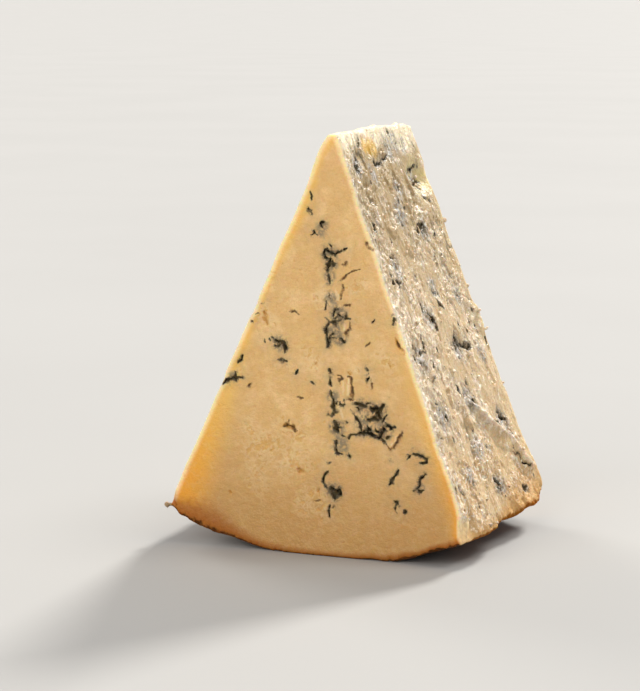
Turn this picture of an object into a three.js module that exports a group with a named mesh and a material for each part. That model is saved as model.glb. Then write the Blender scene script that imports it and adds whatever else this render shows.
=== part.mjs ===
// A wedge of blue-veined cheese: an eighth of a slab cut from a drum-shaped wheel.
// It stands on its rind, tip up. Units are millimetres and +Z is up. The origin is where the rind rests,
// straight below the wheel's axis and midway through the slab.
// The smooth cut face looks along -Y, and the torn face looks along +X.
import * as THREE from "three";
import { mergeVertices } from "three/addons/utils/BufferGeometryUtils.js";

const { degToRad, lerp, smoothstep } = THREE.MathUtils;

// Driving dimensions
const WHEEL_RADIUS = 100;
const SECTOR = degToRad(45); // an eighth of the wheel
const SLAB = 55; // thickness of the slab, along the wheel's axis
const LEAN = degToRad(2.1); // the wedge leans to its left on the round rind
const TIP_CUT = 2.2; // the tip is blunt, this far from the wheel's axis
const REST_HALF = 9; // the soft rind is pressed flat this far to each side of where it rests
const REST_FADE = 5.5; // and its relief comes back over this distance beyond the flat
const TORN_TWIST = 0.8; // the torn face winds this far out of flat at its corners
const RIDGE_CROWN = 0.9; // the tip's ridge rises this far midway through the slab
const EDGE_WEAR = 0.35; // the worn edges lie this far inside the sharp ones
const CLEAN_STRIP = 14; // the left face is cut clean this far in from the smooth front face

// Finish
const PASTE_COLOUR = 0xdcb878;
const PASTE_ROUGHNESS = 0.55;

// Relief: how far each kind of surface rises and falls, and over what distance
const TORN_RELIEF = [
  { height: 0.5, size: 10 },
  { height: 0.4, size: 5 },
];
const CUT_RELIEF = [
  { height: 0.16, size: 24 },
  { height: 0.08, size: 8 },
];
const RIND_RELIEF = [
  { height: 0.5, size: 14 },
  { height: 0.4, size: 6.5 },
];
const CALM_TIP = 16; // the relief grows from nothing at the axis to its full height this far out

// Cells of the surface grid: across the sector, through the slab, and from the tip to the rind
const CELLS_ACROSS = 28;
const CELLS_DEEP = 21;
const CELLS_ALONG = 43;

const LEFT_ANGLE = -SECTOR / 2 - LEAN; // both measured from straight down
const RIGHT_ANGLE = SECTOR / 2 - LEAN;
const AXIS_HEIGHT = Math.sqrt(WHEEL_RADIUS ** 2 - REST_HALF ** 2); // the flat takes a little off the round

// The point of the plain wedge at an angle from straight down, a depth through the slab
// and a distance from the axis.
function wedgePoint(angle, deep, along) {
  return new THREE.Vector3(along * Math.sin(angle), deep, AXIS_HEIGHT - along * Math.cos(angle));
}

const onFront = (x, z) => new THREE.Vector3(x, -SLAB / 2, z);
const onTorn = (deep, along) => wedgePoint(RIGHT_ANGLE, deep, along);
const onLeft = (deep, along) => wedgePoint(LEFT_ANGLE, deep, along);
const onBack = (x, z) => new THREE.Vector3(x, SLAB / 2, z);

// Hollows, cracks and chips. Each is sunk by its depth along a line between two points,
// and fades out at its reach. A negative depth stands proud.
const MARKS = [
  // Torn face: the broken hollow by the tip, with the lump below it
  { from: onTorn(15, 15), to: onTorn(22.5, 16.5), reach: 5, depth: 2.4 },
  { from: onTorn(13, 24.5), to: onTorn(21, 24), reach: 4.5, depth: -1.0 },
  // Torn face: mould pockets, from the tip to the rind
  { from: onTorn(-22, 11), to: onTorn(-18, 8), reach: 3, depth: 1.2 },
  { from: onTorn(-7, 11), to: onTorn(-2, 9.5), reach: 3, depth: 1.2 },
  { from: onTorn(6, 27.5), to: onTorn(10, 27.5), reach: 3.2, depth: 1.1 },
  { from: onTorn(-20, 38), to: onTorn(-18, 39.5), reach: 3.2, depth: 1.3 },
  { from: onTorn(-9, 46), to: onTorn(-5, 51), reach: 3, depth: 1.2 },
  { from: onTorn(3.5, 57), to: onTorn(9, 57.5), reach: 3.6, depth: 1.8 },
  { from: onTorn(-2, 68.5), to: onTorn(3.5, 71), reach: 3, depth: 1.2 },
  { from: onTorn(-23, 75), to: onTorn(-17, 71), reach: 4, depth: 1.0 },
  { from: onTorn(16, 77), to: onTorn(19, 81), reach: 3.6, depth: 1.8 },
  { from: onTorn(0.5, 90), to: onTorn(1.5, 93), reach: 3, depth: 1.6 },
  { from: onTorn(13, 95), to: onTorn(16, 95), reach: 3, depth: 1.3 },
  // Torn face: the ledge that runs down towards the back, and the flake that bulges from the back edge
  { from: onTorn(5, 72), to: onTorn(20, 90), reach: 4, depth: -1.3 },
  { from: onTorn(27, 51), to: onTorn(27, 54.5), reach: 4, depth: -0.6 },
  // Front face: mould pockets, from the tip to the rind
  { from: onFront(-0.5, 71), to: onFront(3, 71), reach: 2.8, depth: 0.8 },
  { from: onFront(-0.5, 52), to: onFront(3.5, 58), reach: 3.2, depth: 0.8 },
  { from: onFront(-15, 50.3), to: onFront(-11.5, 48.5), reach: 2.8, depth: 0.7 },
  { from: onFront(-25, 40.8), to: onFront(-22.5, 41.3), reach: 2.6, depth: 0.7 },
  { from: onFront(1, 37), to: onFront(1.6, 26), reach: 2.4, depth: 0.5 },
  { from: onFront(8, 35.5), to: onFront(12.5, 32), reach: 3.6, depth: 0.9 },
  { from: onFront(14.5, 28.5), to: onFront(16.8, 30.5), reach: 2.4, depth: 0.6 },
  { from: onFront(0, 17.5), to: onFront(0.5, 13.5), reach: 2.8, depth: 0.8 },
  { from: onFront(22.2, 20.5), to: onFront(21.6, 18.5), reach: 2.4, depth: 0.5 },
  // Chipped edges: the corner by the rind, and notches down the left edge
  { from: onTorn(-27.5, 90), to: onTorn(-26.5, 99), reach: 5.5, depth: 1.3 },
  { from: onFront(-18.5, 57.5), to: onFront(-19.8, 54.8), reach: 3, depth: 0.7 },
  { from: onFront(-27, 40), to: onFront(-26.5, 41), reach: 2.6, depth: 0.35 },
  // The unseen sides, finished like their opposite numbers
  { from: onLeft(-10, 30), to: onLeft(-4, 34), reach: 3.4, depth: 1.4 },
  { from: onLeft(12, 48), to: onLeft(16, 55), reach: 3.4, depth: 1.6 },
  { from: onLeft(-14, 66), to: onLeft(-8, 70), reach: 3.6, depth: 1.5 },
  { from: onLeft(6, 82), to: onLeft(12, 84), reach: 3.2, depth: 1.4 },
  { from: onBack(0, 74), to: onBack(-1, 66), reach: 2.8, depth: 0.7 },
  { from: onBack(-6, 48), to: onBack(-10, 44), reach: 3.2, depth: 0.9 },
  { from: onBack(8, 40), to: onBack(12, 36), reach: 3.2, depth: 0.8 },
  { from: onBack(-2, 22), to: onBack(-3, 16), reach: 3, depth: 0.8 },
];

// A repeatable number from 0 to 1 for each point of a whole-number lattice, mixed by large primes
// and by folding the high bits onto the low ones.
const LATTICE_PRIMES = [374761393, 668265263, 1440662683];
const MIXING_PRIME = 1274126177;
const FIRST_FOLD = 13;
const LAST_FOLD = 16;
function latticeValue(...place) {
  let bits = place.reduce((sum, step, axis) => sum ^ Math.imul(step, LATTICE_PRIMES[axis]), 0);
  bits = Math.imul(bits ^ (bits >>> FIRST_FOLD), MIXING_PRIME);
  return ((bits ^ (bits >>> LAST_FOLD)) >>> 0) / 2 ** 32;
}

// Smooth noise from -1 to 1 that rises and falls over a distance of about size.
function noise(point, size) {
  const cell = point.clone().divideScalar(size);
  const base = cell.clone().floor();
  const [tx, ty, tz] = cell.sub(base).toArray().map((t) => smoothstep(t, 0, 1));
  const corner = (i, j, k) => latticeValue(base.x + i, base.y + j, base.z + k);
  const edge = (j, k) => lerp(corner(0, j, k), corner(1, j, k), tx);
  return 2 * lerp(lerp(edge(0, 0), edge(1, 0), ty), lerp(edge(0, 1), edge(1, 1), ty), tz) - 1;
}

function relief(point, layers) {
  return layers.reduce((sum, layer) => sum + layer.height * noise(point, layer.size), 0);
}

// How far the marks sink the surface at a point.
function markDepth(point) {
  const nearest = new THREE.Vector3();
  return MARKS.reduce((sum, { from, to, reach, depth }) => {
    new THREE.Line3(from, to).closestPointToPoint(point, true, nearest);
    return sum + depth * (1 - smoothstep(point.distanceTo(nearest), 0, reach));
  }, 0);
}

// The sides that a grid point lies on, each with its outward normal and its height above the plain wedge.
// across and deep run from -1 to 1, and out from 0 at the tip to 1 at the rind.
function sidesAt(point, across, deep, out, angle) {
  const calm = Math.min(1, (out * WHEEL_RADIUS) / CALM_TIP);
  const sides = [];
  if (across === 1) {
    const twist = TORN_TWIST * deep * (2 * out - 1);
    const normal = new THREE.Vector3(Math.cos(RIGHT_ANGLE), 0, Math.sin(RIGHT_ANGLE));
    sides.push({ normal, height: twist + calm * relief(point, TORN_RELIEF) });
  }
  if (across === -1) {
    const normal = new THREE.Vector3(-Math.cos(LEFT_ANGLE), 0, -Math.sin(LEFT_ANGLE));
    const torn = smoothstep(point.y + SLAB / 2, 0, CLEAN_STRIP);
    sides.push({ normal, height: calm * torn * relief(point, TORN_RELIEF) });
  }
  if (Math.abs(deep) === 1) {
    const normal = new THREE.Vector3(0, deep, 0);
    sides.push({ normal, height: calm * relief(point, CUT_RELIEF) });
  }
  if (out === 1) {
    const normal = new THREE.Vector3(Math.sin(angle), 0, -Math.cos(angle));
    const clearOfRest = smoothstep(Math.abs(point.x), REST_HALF, REST_HALF + REST_FADE);
    sides.push({ normal, height: clearOfRest * relief(point, RIND_RELIEF) });
  }
  if (out === 0) {
    const normal = new THREE.Vector3(0, 0, 1);
    sides.push({ normal, height: RIDGE_CROWN * (1 - deep * deep) });
  }
  return sides;
}

// One closed box grid, bent to the wedge and then given its relief.
function wedgeGeometry() {
  const grid = new THREE.BoxGeometry(2, 2, 1, CELLS_ACROSS, CELLS_DEEP, CELLS_ALONG);
  grid.deleteAttribute("normal");
  grid.deleteAttribute("uv");
  const geometry = mergeVertices(grid);
  const positions = geometry.getAttribute("position");
  const cell = new THREE.Vector3();
  for (let i = 0; i < positions.count; i += 1) {
    cell.fromBufferAttribute(positions, i);
    const out = 0.5 - cell.z;
    const angle = lerp(LEFT_ANGLE, RIGHT_ANGLE, (cell.x + 1) / 2);
    const plain = wedgePoint(angle, (cell.y * SLAB) / 2, lerp(TIP_CUT, WHEEL_RADIUS, out));
    const point = plain.clone();
    const sides = sidesAt(plain, cell.x, cell.y, out, angle);
    const wear = sides.length > 1 ? EDGE_WEAR : 0;
    const sunk = markDepth(plain);
    for (const { normal, height } of sides) point.addScaledVector(normal, height - sunk - wear);
    point.z = Math.max(point.z, 0);
    positions.setXYZ(i, point.x, point.y, point.z);
  }
  return geometry;
}

const paste = new THREE.MeshStandardMaterial({
  color: PASTE_COLOUR,
  roughness: PASTE_ROUGHNESS,
  metalness: 0,
});

const wedge = new THREE.Mesh(wedgeGeometry(), paste);
wedge.name = "wedge";

const cheese = new THREE.Group();
cheese.add(wedge);

export default cheese;
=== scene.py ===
import math

import bmesh
import bpy
import numpy as np
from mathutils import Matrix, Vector
from mathutils.geometry import delaunay_2d_cdt


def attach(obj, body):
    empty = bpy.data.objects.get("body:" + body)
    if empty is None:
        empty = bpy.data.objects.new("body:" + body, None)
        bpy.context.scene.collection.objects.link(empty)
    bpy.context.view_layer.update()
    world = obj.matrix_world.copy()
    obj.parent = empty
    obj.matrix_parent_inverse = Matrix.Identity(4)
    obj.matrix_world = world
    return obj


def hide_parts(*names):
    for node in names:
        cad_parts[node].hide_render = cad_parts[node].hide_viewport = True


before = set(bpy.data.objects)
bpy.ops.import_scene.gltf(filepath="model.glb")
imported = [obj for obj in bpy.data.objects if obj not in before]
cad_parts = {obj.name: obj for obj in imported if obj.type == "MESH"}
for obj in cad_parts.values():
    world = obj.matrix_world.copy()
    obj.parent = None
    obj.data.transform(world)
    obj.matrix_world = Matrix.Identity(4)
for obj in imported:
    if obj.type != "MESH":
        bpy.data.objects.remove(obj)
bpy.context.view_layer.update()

# A wedge of blue-veined cheese. Shapes are worked out in millimetres and made into metres at the end.
MM = 0.001

# The plain wedge, as in the solid that it stands for
WHEEL_RADIUS = 100.0
SECTOR = math.radians(45)
SLAB = 55.0
LEAN = math.radians(2.1)
TIP_CUT = 2.2  # the tip is blunt at this distance from the axis
REST_HALF = 9.0  # half the breadth of the flat where it rests
REST_FADE = 5.5  # the rind's relief comes in over this distance beside the flat
TORN_TWIST = 0.8
RIDGE_CROWN = 0.9
CLEAN_STRIP = 14.0  # breadth of the smooth strip of the left side, next to the front
CALM_TIP = 16.0  # relief comes in over this distance from the axis
LEFT_ANGLE = -SECTOR / 2 - LEAN
RIGHT_ANGLE = SECTOR / 2 - LEAN
AXIS_HEIGHT = math.sqrt(WHEEL_RADIUS**2 - REST_HALF**2)

# A place on the wedge is an angle from straight down, a depth through the slab,
# and a distance along from the axis.
LOW = (LEFT_ANGLE, -SLAB / 2, TIP_CUT)
HIGH = (RIGHT_ANGLE, SLAB / 2, WHEEL_RADIUS)
ANGLE, DEEP, ALONG = range(3)
# Each side holds one of the three at its lowest or highest value.
SIDES = {
    "front": (DEEP, LOW[DEEP]),
    "back": (DEEP, HIGH[DEEP]),
    "torn": (ANGLE, HIGH[ANGLE]),
    "left": (ANGLE, LOW[ANGLE]),
    "rind": (ALONG, HIGH[ALONG]),
    "tip": (ALONG, LOW[ALONG]),
}
TORN_SIDES = ("torn", "left")
EDGE_SPACING = 0.42
SPACING = {"front": 0.6, "torn": 0.41, "left": 0.7, "back": 0.8, "rind": 0.8, "tip": 0.42}
FINE_SPACING = {"front": 0.24, "back": 0.46}  # near veins and marks
FINE_REACH = 1.2
EDGE_GAP = 0.6  # the inner points keep this many spacings clear of a side's edges
EDGE_BLEND = 3.5  # a side's relief carries its neighbours along over this distance
TIP_BLEND = 2 * TIP_CUT  # and the tip's over this one
SAME_PLACE = 6  # places that agree to this many decimals are one
SAME_POINT = 1e-6  # and so are flat points this close together
INSIDE_ONLY = 1  # how the triangulation treats its outline
NO_LENGTH = 1e-9  # keeps the square of a step's length above nought

# Relief as height and size: how far it rises and falls, and over what distance
TORN_RELIEF = ((0.42, 10.0), (0.28, 5.0))
CUT_RELIEF = ((0.16, 24.0), (0.08, 8.0))
RIND_RELIEF = ((0.5, 14.0), (0.4, 6.5))
TORN_FLAKES = (0.2, 5.2)  # steepness and size of flakes, each with a slope of its own
SMALL_FLAKES = (0.3, 1.9)
FLAKE_STRETCH = 1.6  # flakes are longer towards the rind than across
ANGLE_SPREAD = 9.0  # keeps what is drawn out on the two torn sides apart
TORN_GRANULES = ((0.1, 2.6), (0.14, 1.3))
GRANULE_SEAM = 0.35  # breadth of the seam round a granule, as a share of its size
TORN_GRAIN = (0.08, 0.9)
RIDGE_GRAIN = (0.08, 2.7)
CUT_GRAIN = ((0.06, 2.6), (0.03, 0.9))
CRUST_LUMPS = (0.5, 2.4)  # the broken crust along the rind is lumpy
CRUST_LUMP_DEPTHS = (0.5, 2.5)  # and the lumps end between these depths, in thicknesses of the crust
FISSURES = (0.35, 4.2)
FISSURE_STRETCH = 3.2  # fissures run from the tip towards the rind
FISSURE_HALF = 0.1
FISSURE_GAPS = (8.4, -0.1, 0.4)  # size of the noise that breaks them up, and from where to where it does
EDGE_CALM = (0.35, 4.0)  # the torn sides' relief falls to this share at their edges, over this distance
RIND_CREASES = (0.35, 3.2)
CREASE_HALF = 0.25
RIND_GRAIN = (0.12, 1.2)
EDGE_ROUND = (0.5, 1.5)  # the worn edges are rounded over distances in this range
EDGE_ROUND_SIZE = 6.0
EDGE_DROP = 0.3  # share of that distance that the worn edge drops

# The torn paste is smooth in some places and crumbly in others: noise, and what adds to it or takes from it
RUBBLE = ((0.6, 7.0), (0.4, 3.0))
RUBBLE_BASE = 0.15
RUBBLE_GREY = 0.5  # more in grey mould
RUBBLE_FRONT = 0.5  # more by the front's edge
RUBBLE_BACK = -0.8  # less by the back's
RUBBLE_FADE = 3.0  # distance over which these two fade
RUBBLE_SMOOTH = -1.2  # less in the smooth patches
RUBBLE_BAND = (-0.1, 0.3)  # from smooth to crumbly
SMOOTH_SHARE = 0.2  # of the small relief, where it is smooth

# Thickness of the crust, and its swellings: how much, from which side, how far in, and how broad
CRUST = 0.5
CRUST_SWELLS = ((1.4, "left", 10.0, 9.0), (0.3, "torn", 0.0, 7.0), (0.5, "left", 0.0, 1.2))
CRUST_BACK_SWELL = (1.8, "torn", 0.0, 4.0)  # only towards the back, from where to where deep
CRUST_BACK = (-8.0, 12.0)
CRUST_LIMIT = 12.0  # depths are told apart up to this many thicknesses

# Lips of the torn side that stand proud and are white too, as places (deep, along)
LONG_LIP = ((-0.4, 70.0), (4.4, 74.1), (9.7, 78.7), (14.4, 81.1))
STEEP_LIP = ((16.4, 80.3), (17.4, 83.8), (18.7, 87.1), (21.9, 91.9))
CORNER_LIP = ((-26.3, 93.2), (-24.9, 94.6), (-24.4, 96.3), (-24.5, 97.8))

# Hollows, ledges and chips of each side as depth, reach and places. Negative stands proud of the side.
# Places on the torn and left sides are (deep, along), on the front and back (x, z) with z as the height
# above the lowest point of the round, and on the rind and tip (degrees, deep).
FORMS = {
    "torn": [
        (1.7, 5.4, (15, 14.8), (23.5, 15.8)),
        (-0.3, 4.5, (13, 24.5), (21, 24)),
        (-0.7, 4.0, (5, 72), (20, 90)),
        (-0.8, 1.9, *LONG_LIP),
        (-0.8, 1.6, *STEEP_LIP),
        (-0.6, 4.0, (27, 51), (27, 54.5)),
        (-0.7, 1.6, *CORNER_LIP),
        (0.9, 1.8, (-20.6, 94.6), (-21.2, 96.6), (-22.2, 98.6)),
        (0.5, 3.6, (3.5, 57), (9, 57.5)),
        (0.6, 3.6, (16, 77), (19, 81)),
        (0.5, 3.0, (-22, 11), (-18, 8)),
        (0.4, 3.0, (-7, 11), (-2, 9.5)),
        (0.9, 4.5, (27.5, 100), (26, 100)),
        (-1.4, 17.0, (16, 97), (27, 97)),
    ],
    "left": [
        (-0.6, 10.0, (-27.5, 6), (-22, 6)),
        (1.4, 3.4, (-10, 30), (-4, 34)),
        (1.6, 3.4, (12, 48), (16, 55)),
        (1.5, 3.6, (-14, 66), (-8, 70)),
        (1.4, 3.2, (6, 82), (12, 84)),
        (0.5, 3.5, (-27.5, 98.5), (-24, 100)),
        (0.3, 3.0, (-27.5, 45.5), (-27.5, 47)),
        (0.25, 2.6, (-27.5, 65.5), (-27.5, 66.5)),
    ],
    "front": [
        (-0.45, 1.3, (3.0, 42.3), (3.3, 38.9)),
        (-0.45, 1.2, (4.7, 42.3), (4.6, 38.9)),
        (-0.6, 1.5, (15.0, 27.8), (16.4, 29.9)),
        (-0.45, 1.6, (3.2, 55.0), (4.0, 53.6)),
        (-0.35, 1.3, (1.4, 62.8), (1.9, 60.6)),
        (-0.4, 3.6, (8.2, 26.6), (10.4, 27.0)),
    ],
    "rind": [
        (-1.0, 8.0, (-21.5, -27), (-18.5, -26)),
        (-0.7, 12.0, (-18, -27), (-9, -27)),
        (-0.6, 8.0, (19.5, 5), (19.5, 22)),
        (1.3, 5.0, (20.4, 27.5), (19.5, 27.5)),
    ],
    "tip": [
        (-0.7, 1.6, (0, 17.4)),
        (-0.3, 3.0, (0, 23.0)),
        (-0.35, 2.0, (0, 0.5)),
        (0.4, 1.8, (0, 4.0)),
    ],
}
# The torn side is broken away beside the front's lower right corner: from where to where along,
# how far in from the front, how deep, and how uneven
CHIP_FROM = 91.0
CHIP_FULL = 98.5
CHIP_BREADTH = 5.8
CHIP_FADE = (0.6, 1.3)  # the break ends between these shares of its breadth
CHIP_DEPTH = 1.8
CHIP_BLEND = 8.0  # the paste behind the break moves with it over this distance
CHIP_UNEVEN = (0.3, 3.0)
CHIP_CALM = 0.6  # share of the small relief that is lost in the break
CHIP_CALM_BAND = (0.0, 0.4)

# Veins of blue mould on the front side: half width, then the places (x, z) that the vein runs through
FRONT_VEINS = {
    "tip": [
        (0.22, (-5.2, 85.2), (-4.9, 84.2), (-4.7, 82.9)),
        (0.24, (-5.5, 81.0), (-4.7, 80.4), (-4.5, 79.8)),
        (0.20, (-4.7, 80.1), (-4.3, 80.7)),
        (0.28, (-1.8, 78.3), (-2.5, 78.0), (-2.3, 77.2)),
        (0.28, (-4.2, 76.2), (-3.9, 75.6), (-4.8, 75.1)),
        (0.26, (-3.9, 75.6), (-3.2, 75.1)),
    ],
    "ring": [
        (0.40, (-0.4, 73.3), (0.0, 72.7)),
        (0.36, (-0.9, 72.2), (-1.6, 71.9), (-1.8, 71.2), (-1.4, 70.3), (-0.6, 70.0), (0.2, 70.0)),
        (0.46, (-1.1, 71.9), (-0.3, 71.5), (0.4, 71.1), (1.3, 70.8)),
        (0.50, (1.2, 70.8), (2.0, 71.2), (2.6, 71.6)),
        (0.30, (3.3, 72.1), (3.8, 72.4)),
        (0.36, (0.1, 70.0), (-0.2, 69.0), (-0.5, 67.9), (-0.8, 67.0),
         (-0.7, 66.2), (-0.4, 65.2), (0.0, 64.2)),
        (0.30, (0.6, 69.5), (0.7, 68.3), (0.3, 67.6)),
    ],
    "middle": [
        (0.30, (0.0, 61.6), (0.1, 60.8)),
        (0.30, (-1.1, 60.2), (-1.3, 59.0), (-1.2, 58.3)),
        (0.40, (-1.3, 56.4), (-0.7, 55.7), (-0.8, 53.5), (-0.6, 51.5), (-0.8, 50.3), (-0.9, 49.6)),
        (0.52, (-0.6, 55.6), (0.6, 55.3), (1.6, 55.5), (2.5, 55.9)),
        (0.40, (1.6, 56.0), (1.4, 54.8), (1.1, 53.6)),
        (0.36, (0.7, 56.3), (0.8, 57.3), (1.0, 58.1), (1.4, 58.5), (2.5, 58.8)),
        (0.40, (1.2, 56.3), (2.0, 56.9), (3.0, 56.4)),
        (0.36, (3.9, 57.8), (3.8, 57.0), (3.6, 56.1), (4.8, 56.3)),
        (0.46, (1.2, 51.7), (0.1, 51.4), (0.8, 52.6)),
        (0.42, (2.0, 51.6), (2.7, 51.8), (3.4, 50.9)),
        (0.24, (10.2, 55.8), (10.7, 56.4)),
        (0.28, (15.3, 57.6), (15.7, 57.0), (15.1, 56.0)),
    ],
    "left": [
        (0.26, (-17.7, 58.9), (-16.5, 59.4)),
        (0.30, (-18.8, 56.5), (-17.9, 56.8)),
        (0.30, (-20.0, 54.9), (-19.4, 54.7)),
        (0.30, (-16.5, 50.6), (-16.2, 49.9)),
        (0.32, (-15.2, 50.8), (-15.0, 50.3)),
        (0.48, (-14.3, 51.0), (-13.0, 50.4), (-11.5, 50.0), (-11.2, 49.2), (-10.9, 48.3), (-11.3, 47.7)),
        (0.36, (-13.9, 50.3), (-13.6, 49.4), (-12.6, 49.4), (-11.8, 50.0)),
        (0.32, (-12.7, 45.6), (-11.8, 46.0), (-10.6, 45.8)),
        (0.40, (-22.8, 44.4), (-22.2, 45.4), (-21.9, 46.4)),
        (0.40, (-24.0, 42.8), (-23.6, 41.5), (-23.6, 40.3)),
        (0.42, (-27.4, 39.7), (-26.2, 40.2), (-24.5, 40.6), (-22.8, 41.0), (-21.8, 41.1)),
        (0.30, (-8.2, 43.7), (-8.6, 42.7)),
        (0.28, (-4.6, 41.2), (-4.0, 40.8)),
    ],
    "low": [
        (0.36, (-0.2, 44.3), (0.0, 43.8)),
        (0.40, (-0.3, 42.4), (-0.2, 41.5), (0.1, 40.6)),
        (0.46, (0.0, 39.6), (0.0, 38.8), (0.2, 38.2)),
        (0.36, (0.2, 38.2), (0.7, 37.5), (0.9, 36.5), (0.8, 35.5), (0.9, 34.5)),
        (0.36, (0.9, 36.3), (1.5, 36.5), (1.7, 37.0)),
        (0.32, (2.5, 37.0), (2.6, 36.5), (3.3, 36.1), (3.9, 36.6), (3.6, 37.4)),
        (0.36, (-0.5, 33.9), (0.3, 33.6), (0.9, 34.4), (1.7, 34.1)),
        (0.46, (0.9, 32.7), (1.3, 32.0), (1.6, 31.2), (1.4, 30.8), (2.0, 30.2), (2.5, 29.3)),
        (0.32, (1.4, 31.0), (2.6, 31.0)),
        (0.36, (2.2, 29.5), (3.4, 29.3)),
        (0.36, (1.6, 29.0), (1.4, 27.8), (1.5, 25.2), (2.3, 24.9), (3.0, 25.0)),
        (0.46, (4.4, 25.3), (4.8, 24.6)),
        (0.40, (4.2, 32.3), (4.3, 32.2)),
        (0.28, (5.0, 35.3), (5.6, 34.4), (6.5, 33.0), (7.4, 31.7), (8.0, 30.5)),
        (0.42, (4.6, 28.7), (5.1, 29.4), (6.2, 29.6), (7.5, 30.0), (9.8, 30.0), (11.2, 29.6), (12.3, 29.4)),
        (0.32, (12.3, 29.3), (13.0, 28.6), (13.8, 27.8)),
        (0.64, (6.3, 36.7), (7.3, 36.6), (8.6, 36.2)),
        (0.42, (8.8, 36.8), (9.8, 37.0)),
        (0.85, (10.3, 35.6), (11.2, 36.0), (12.3, 35.9), (13.0, 36.6)),
        (1.10, (11.3, 35.2), (11.6, 34.5), (12.0, 34.1)),
        (0.75, (9.3, 33.4), (10.6, 33.8), (11.5, 33.4)),
        (0.42, (6.6, 35.6), (6.9, 35.3)),
        (0.40, (13.7, 35.0), (13.2, 34.2), (12.9, 33.0)),
        (0.40, (9.2, 32.0), (9.7, 31.0), (8.3, 30.4)),
        (0.32, (10.9, 31.5), (11.3, 30.8), (12.2, 30.7)),
        (0.75, (13.2, 31.3), (12.6, 30.6), (12.3, 29.9), (11.7, 29.5)),
        (0.36, (13.6, 32.8), (14.2, 32.1), (14.8, 31.6), (13.9, 31.1)),
        (0.40, (14.2, 29.9), (13.8, 29.2)),
        (0.26, (15.2, 32.0), (16.0, 31.9)),
        (0.55, (8.9, 44.7), (9.1, 44.3)),
        (0.30, (9.3, 43.6), (9.4, 43.2), (9.0, 42.3)),
    ],
    "foot": [
        (0.30, (-0.6, 22.6), (0.0, 22.9)),
        (0.32, (-0.7, 20.5), (-1.6, 19.6), (-2.0, 18.2), (-1.5, 17.3), (-0.6, 16.6)),
        (0.80, (0.3, 17.0), (0.9, 16.2), (1.6, 16.0), (2.1, 15.6)),
        (0.60, (0.9, 15.7), (1.0, 14.4)),
        (0.40, (0.7, 12.6), (0.5, 12.2)),
        (0.30, (-0.2, 13.4), (-0.2, 12.0), (-0.2, 10.0)),
    ],
    "right": [
        (0.36, (15.2, 24.5), (15.6, 23.9)),
        (0.36, (16.5, 22.2), (16.0, 21.3), (15.5, 20.3), (15.1, 19.4), (14.7, 18.7)),
        (0.26, (18.7, 24.8), (19.4, 25.6), (20.4, 26.2)),
        (0.38, (20.4, 26.2), (21.6, 26.1), (22.6, 25.7), (23.4, 25.3),
         (23.5, 24.6), (22.7, 24.3), (22.0, 24.2)),
        (0.36, (23.1, 21.7), (22.5, 21.3), (21.8, 20.5), (21.6, 19.2), (21.3, 18.2), (20.7, 17.5)),
        (0.40, (21.3, 18.0), (22.2, 17.5), (23.0, 17.9)),
        (0.42, (15.6, 14.8), (16.4, 14.4), (16.9, 13.8)),
        (0.30, (16.4, 14.0), (16.1, 12.8), (16.5, 12.1)),
        (0.36, (18.0, 12.3), (18.6, 12.6)),
    ],
}

# Brown tears and cracks in the paste of the front side, in the same way
FRONT_TEARS = [
    (0.40, (3.0, 68.5), (3.6, 68.2), (4.1, 69.0)),
    (0.36, (8.6, 73.8), (9.3, 72.8), (9.8, 72.3)),
    (0.38, (3.5, 59.3), (4.9, 59.3)),
    (0.42, (-9.6, 57.3), (-8.8, 57.5), (-7.8, 56.7)),
    (0.24, (10.2, 41.8), (10.0, 41.0), (9.7, 40.4)),
    (0.24, (-8.3, 37.4), (-7.0, 37.5)),
    (0.16, (2.1, 64.3), (3.2, 65.5), (4.3, 66.4), (5.8, 67.1), (7.4, 68.0)),
    (0.22, (2.9, 63.8), (3.1, 63.0), (2.8, 62.0), (2.7, 60.7)),
    (0.28, (4.8, 55.3), (4.7, 54.3), (4.3, 53.4), (3.7, 52.5), (3.4, 51.6)),
    (0.20, (8.4, 49.9), (9.3, 50.5), (9.5, 51.0)),
    (0.22, (16.0, 51.9), (16.6, 51.0), (17.3, 50.2)),
    (0.28, (-20.3, 39.2), (-20.0, 40.0)),
    (0.45, (4.8, 37.9), (5.3, 37.5), (5.5, 37.8)),
    (0.30, (1.8, 43.2), (2.4, 43.1), (2.8, 42.5), (2.1, 42.2), (2.2, 41.4)),
    (0.24, (4.2, 43.0), (5.3, 42.8), (5.4, 41.5), (5.6, 40.2), (5.3, 39.0), (5.3, 38.0)),
    (0.28, (14.0, 27.6), (14.7, 26.8), (15.6, 27.3), (16.3, 28.6), (17.1, 30.2), (17.4, 31.0)),
    (0.36, (-11.5, 30.3), (-10.3, 30.9), (-9.3, 30.2), (-8.8, 29.4)),
    (0.30, (-10.0, 31.8), (-9.9, 31.0)),
    (0.24, (-2.6, 17.0), (-2.6, 15.8)),
    (0.30, (-3.6, 13.3), (-2.4, 13.6)),
    (0.30, (-9.6, 30.8), (-9.0, 30.0), (-8.3, 29.6)),
    (0.50, (-40.6, 10.3), (-39.8, 9.4)),
]
# and on the torn side
TORN_TEARS = [
    (0.45, (-8.0, 7.0), (-6.4, 7.3)),
    (0.4, (17.5, 95.6), (19.5, 95.9)),
    (0.35, (14.8, 86.0), (17.2, 88.0)),
]
# Pale flakes that stand proud of the front side, in the same way
FRONT_FLAKES = [
    (0.55, (3.0, 42.3), (3.3, 38.9)),
    (0.55, (4.6, 42.3), (4.5, 38.9)),
    (0.75, (15.1, 28.0), (16.3, 29.8)),
    (0.75, (3.3, 55.0), (3.9, 53.4)),
    (0.55, (1.5, 62.8), (1.9, 60.6)),
    (0.50, (13.2, 33.6), (13.6, 32.4)),
    (0.45, (2.5, 35.6), (3.2, 33.2)),
]
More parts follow.
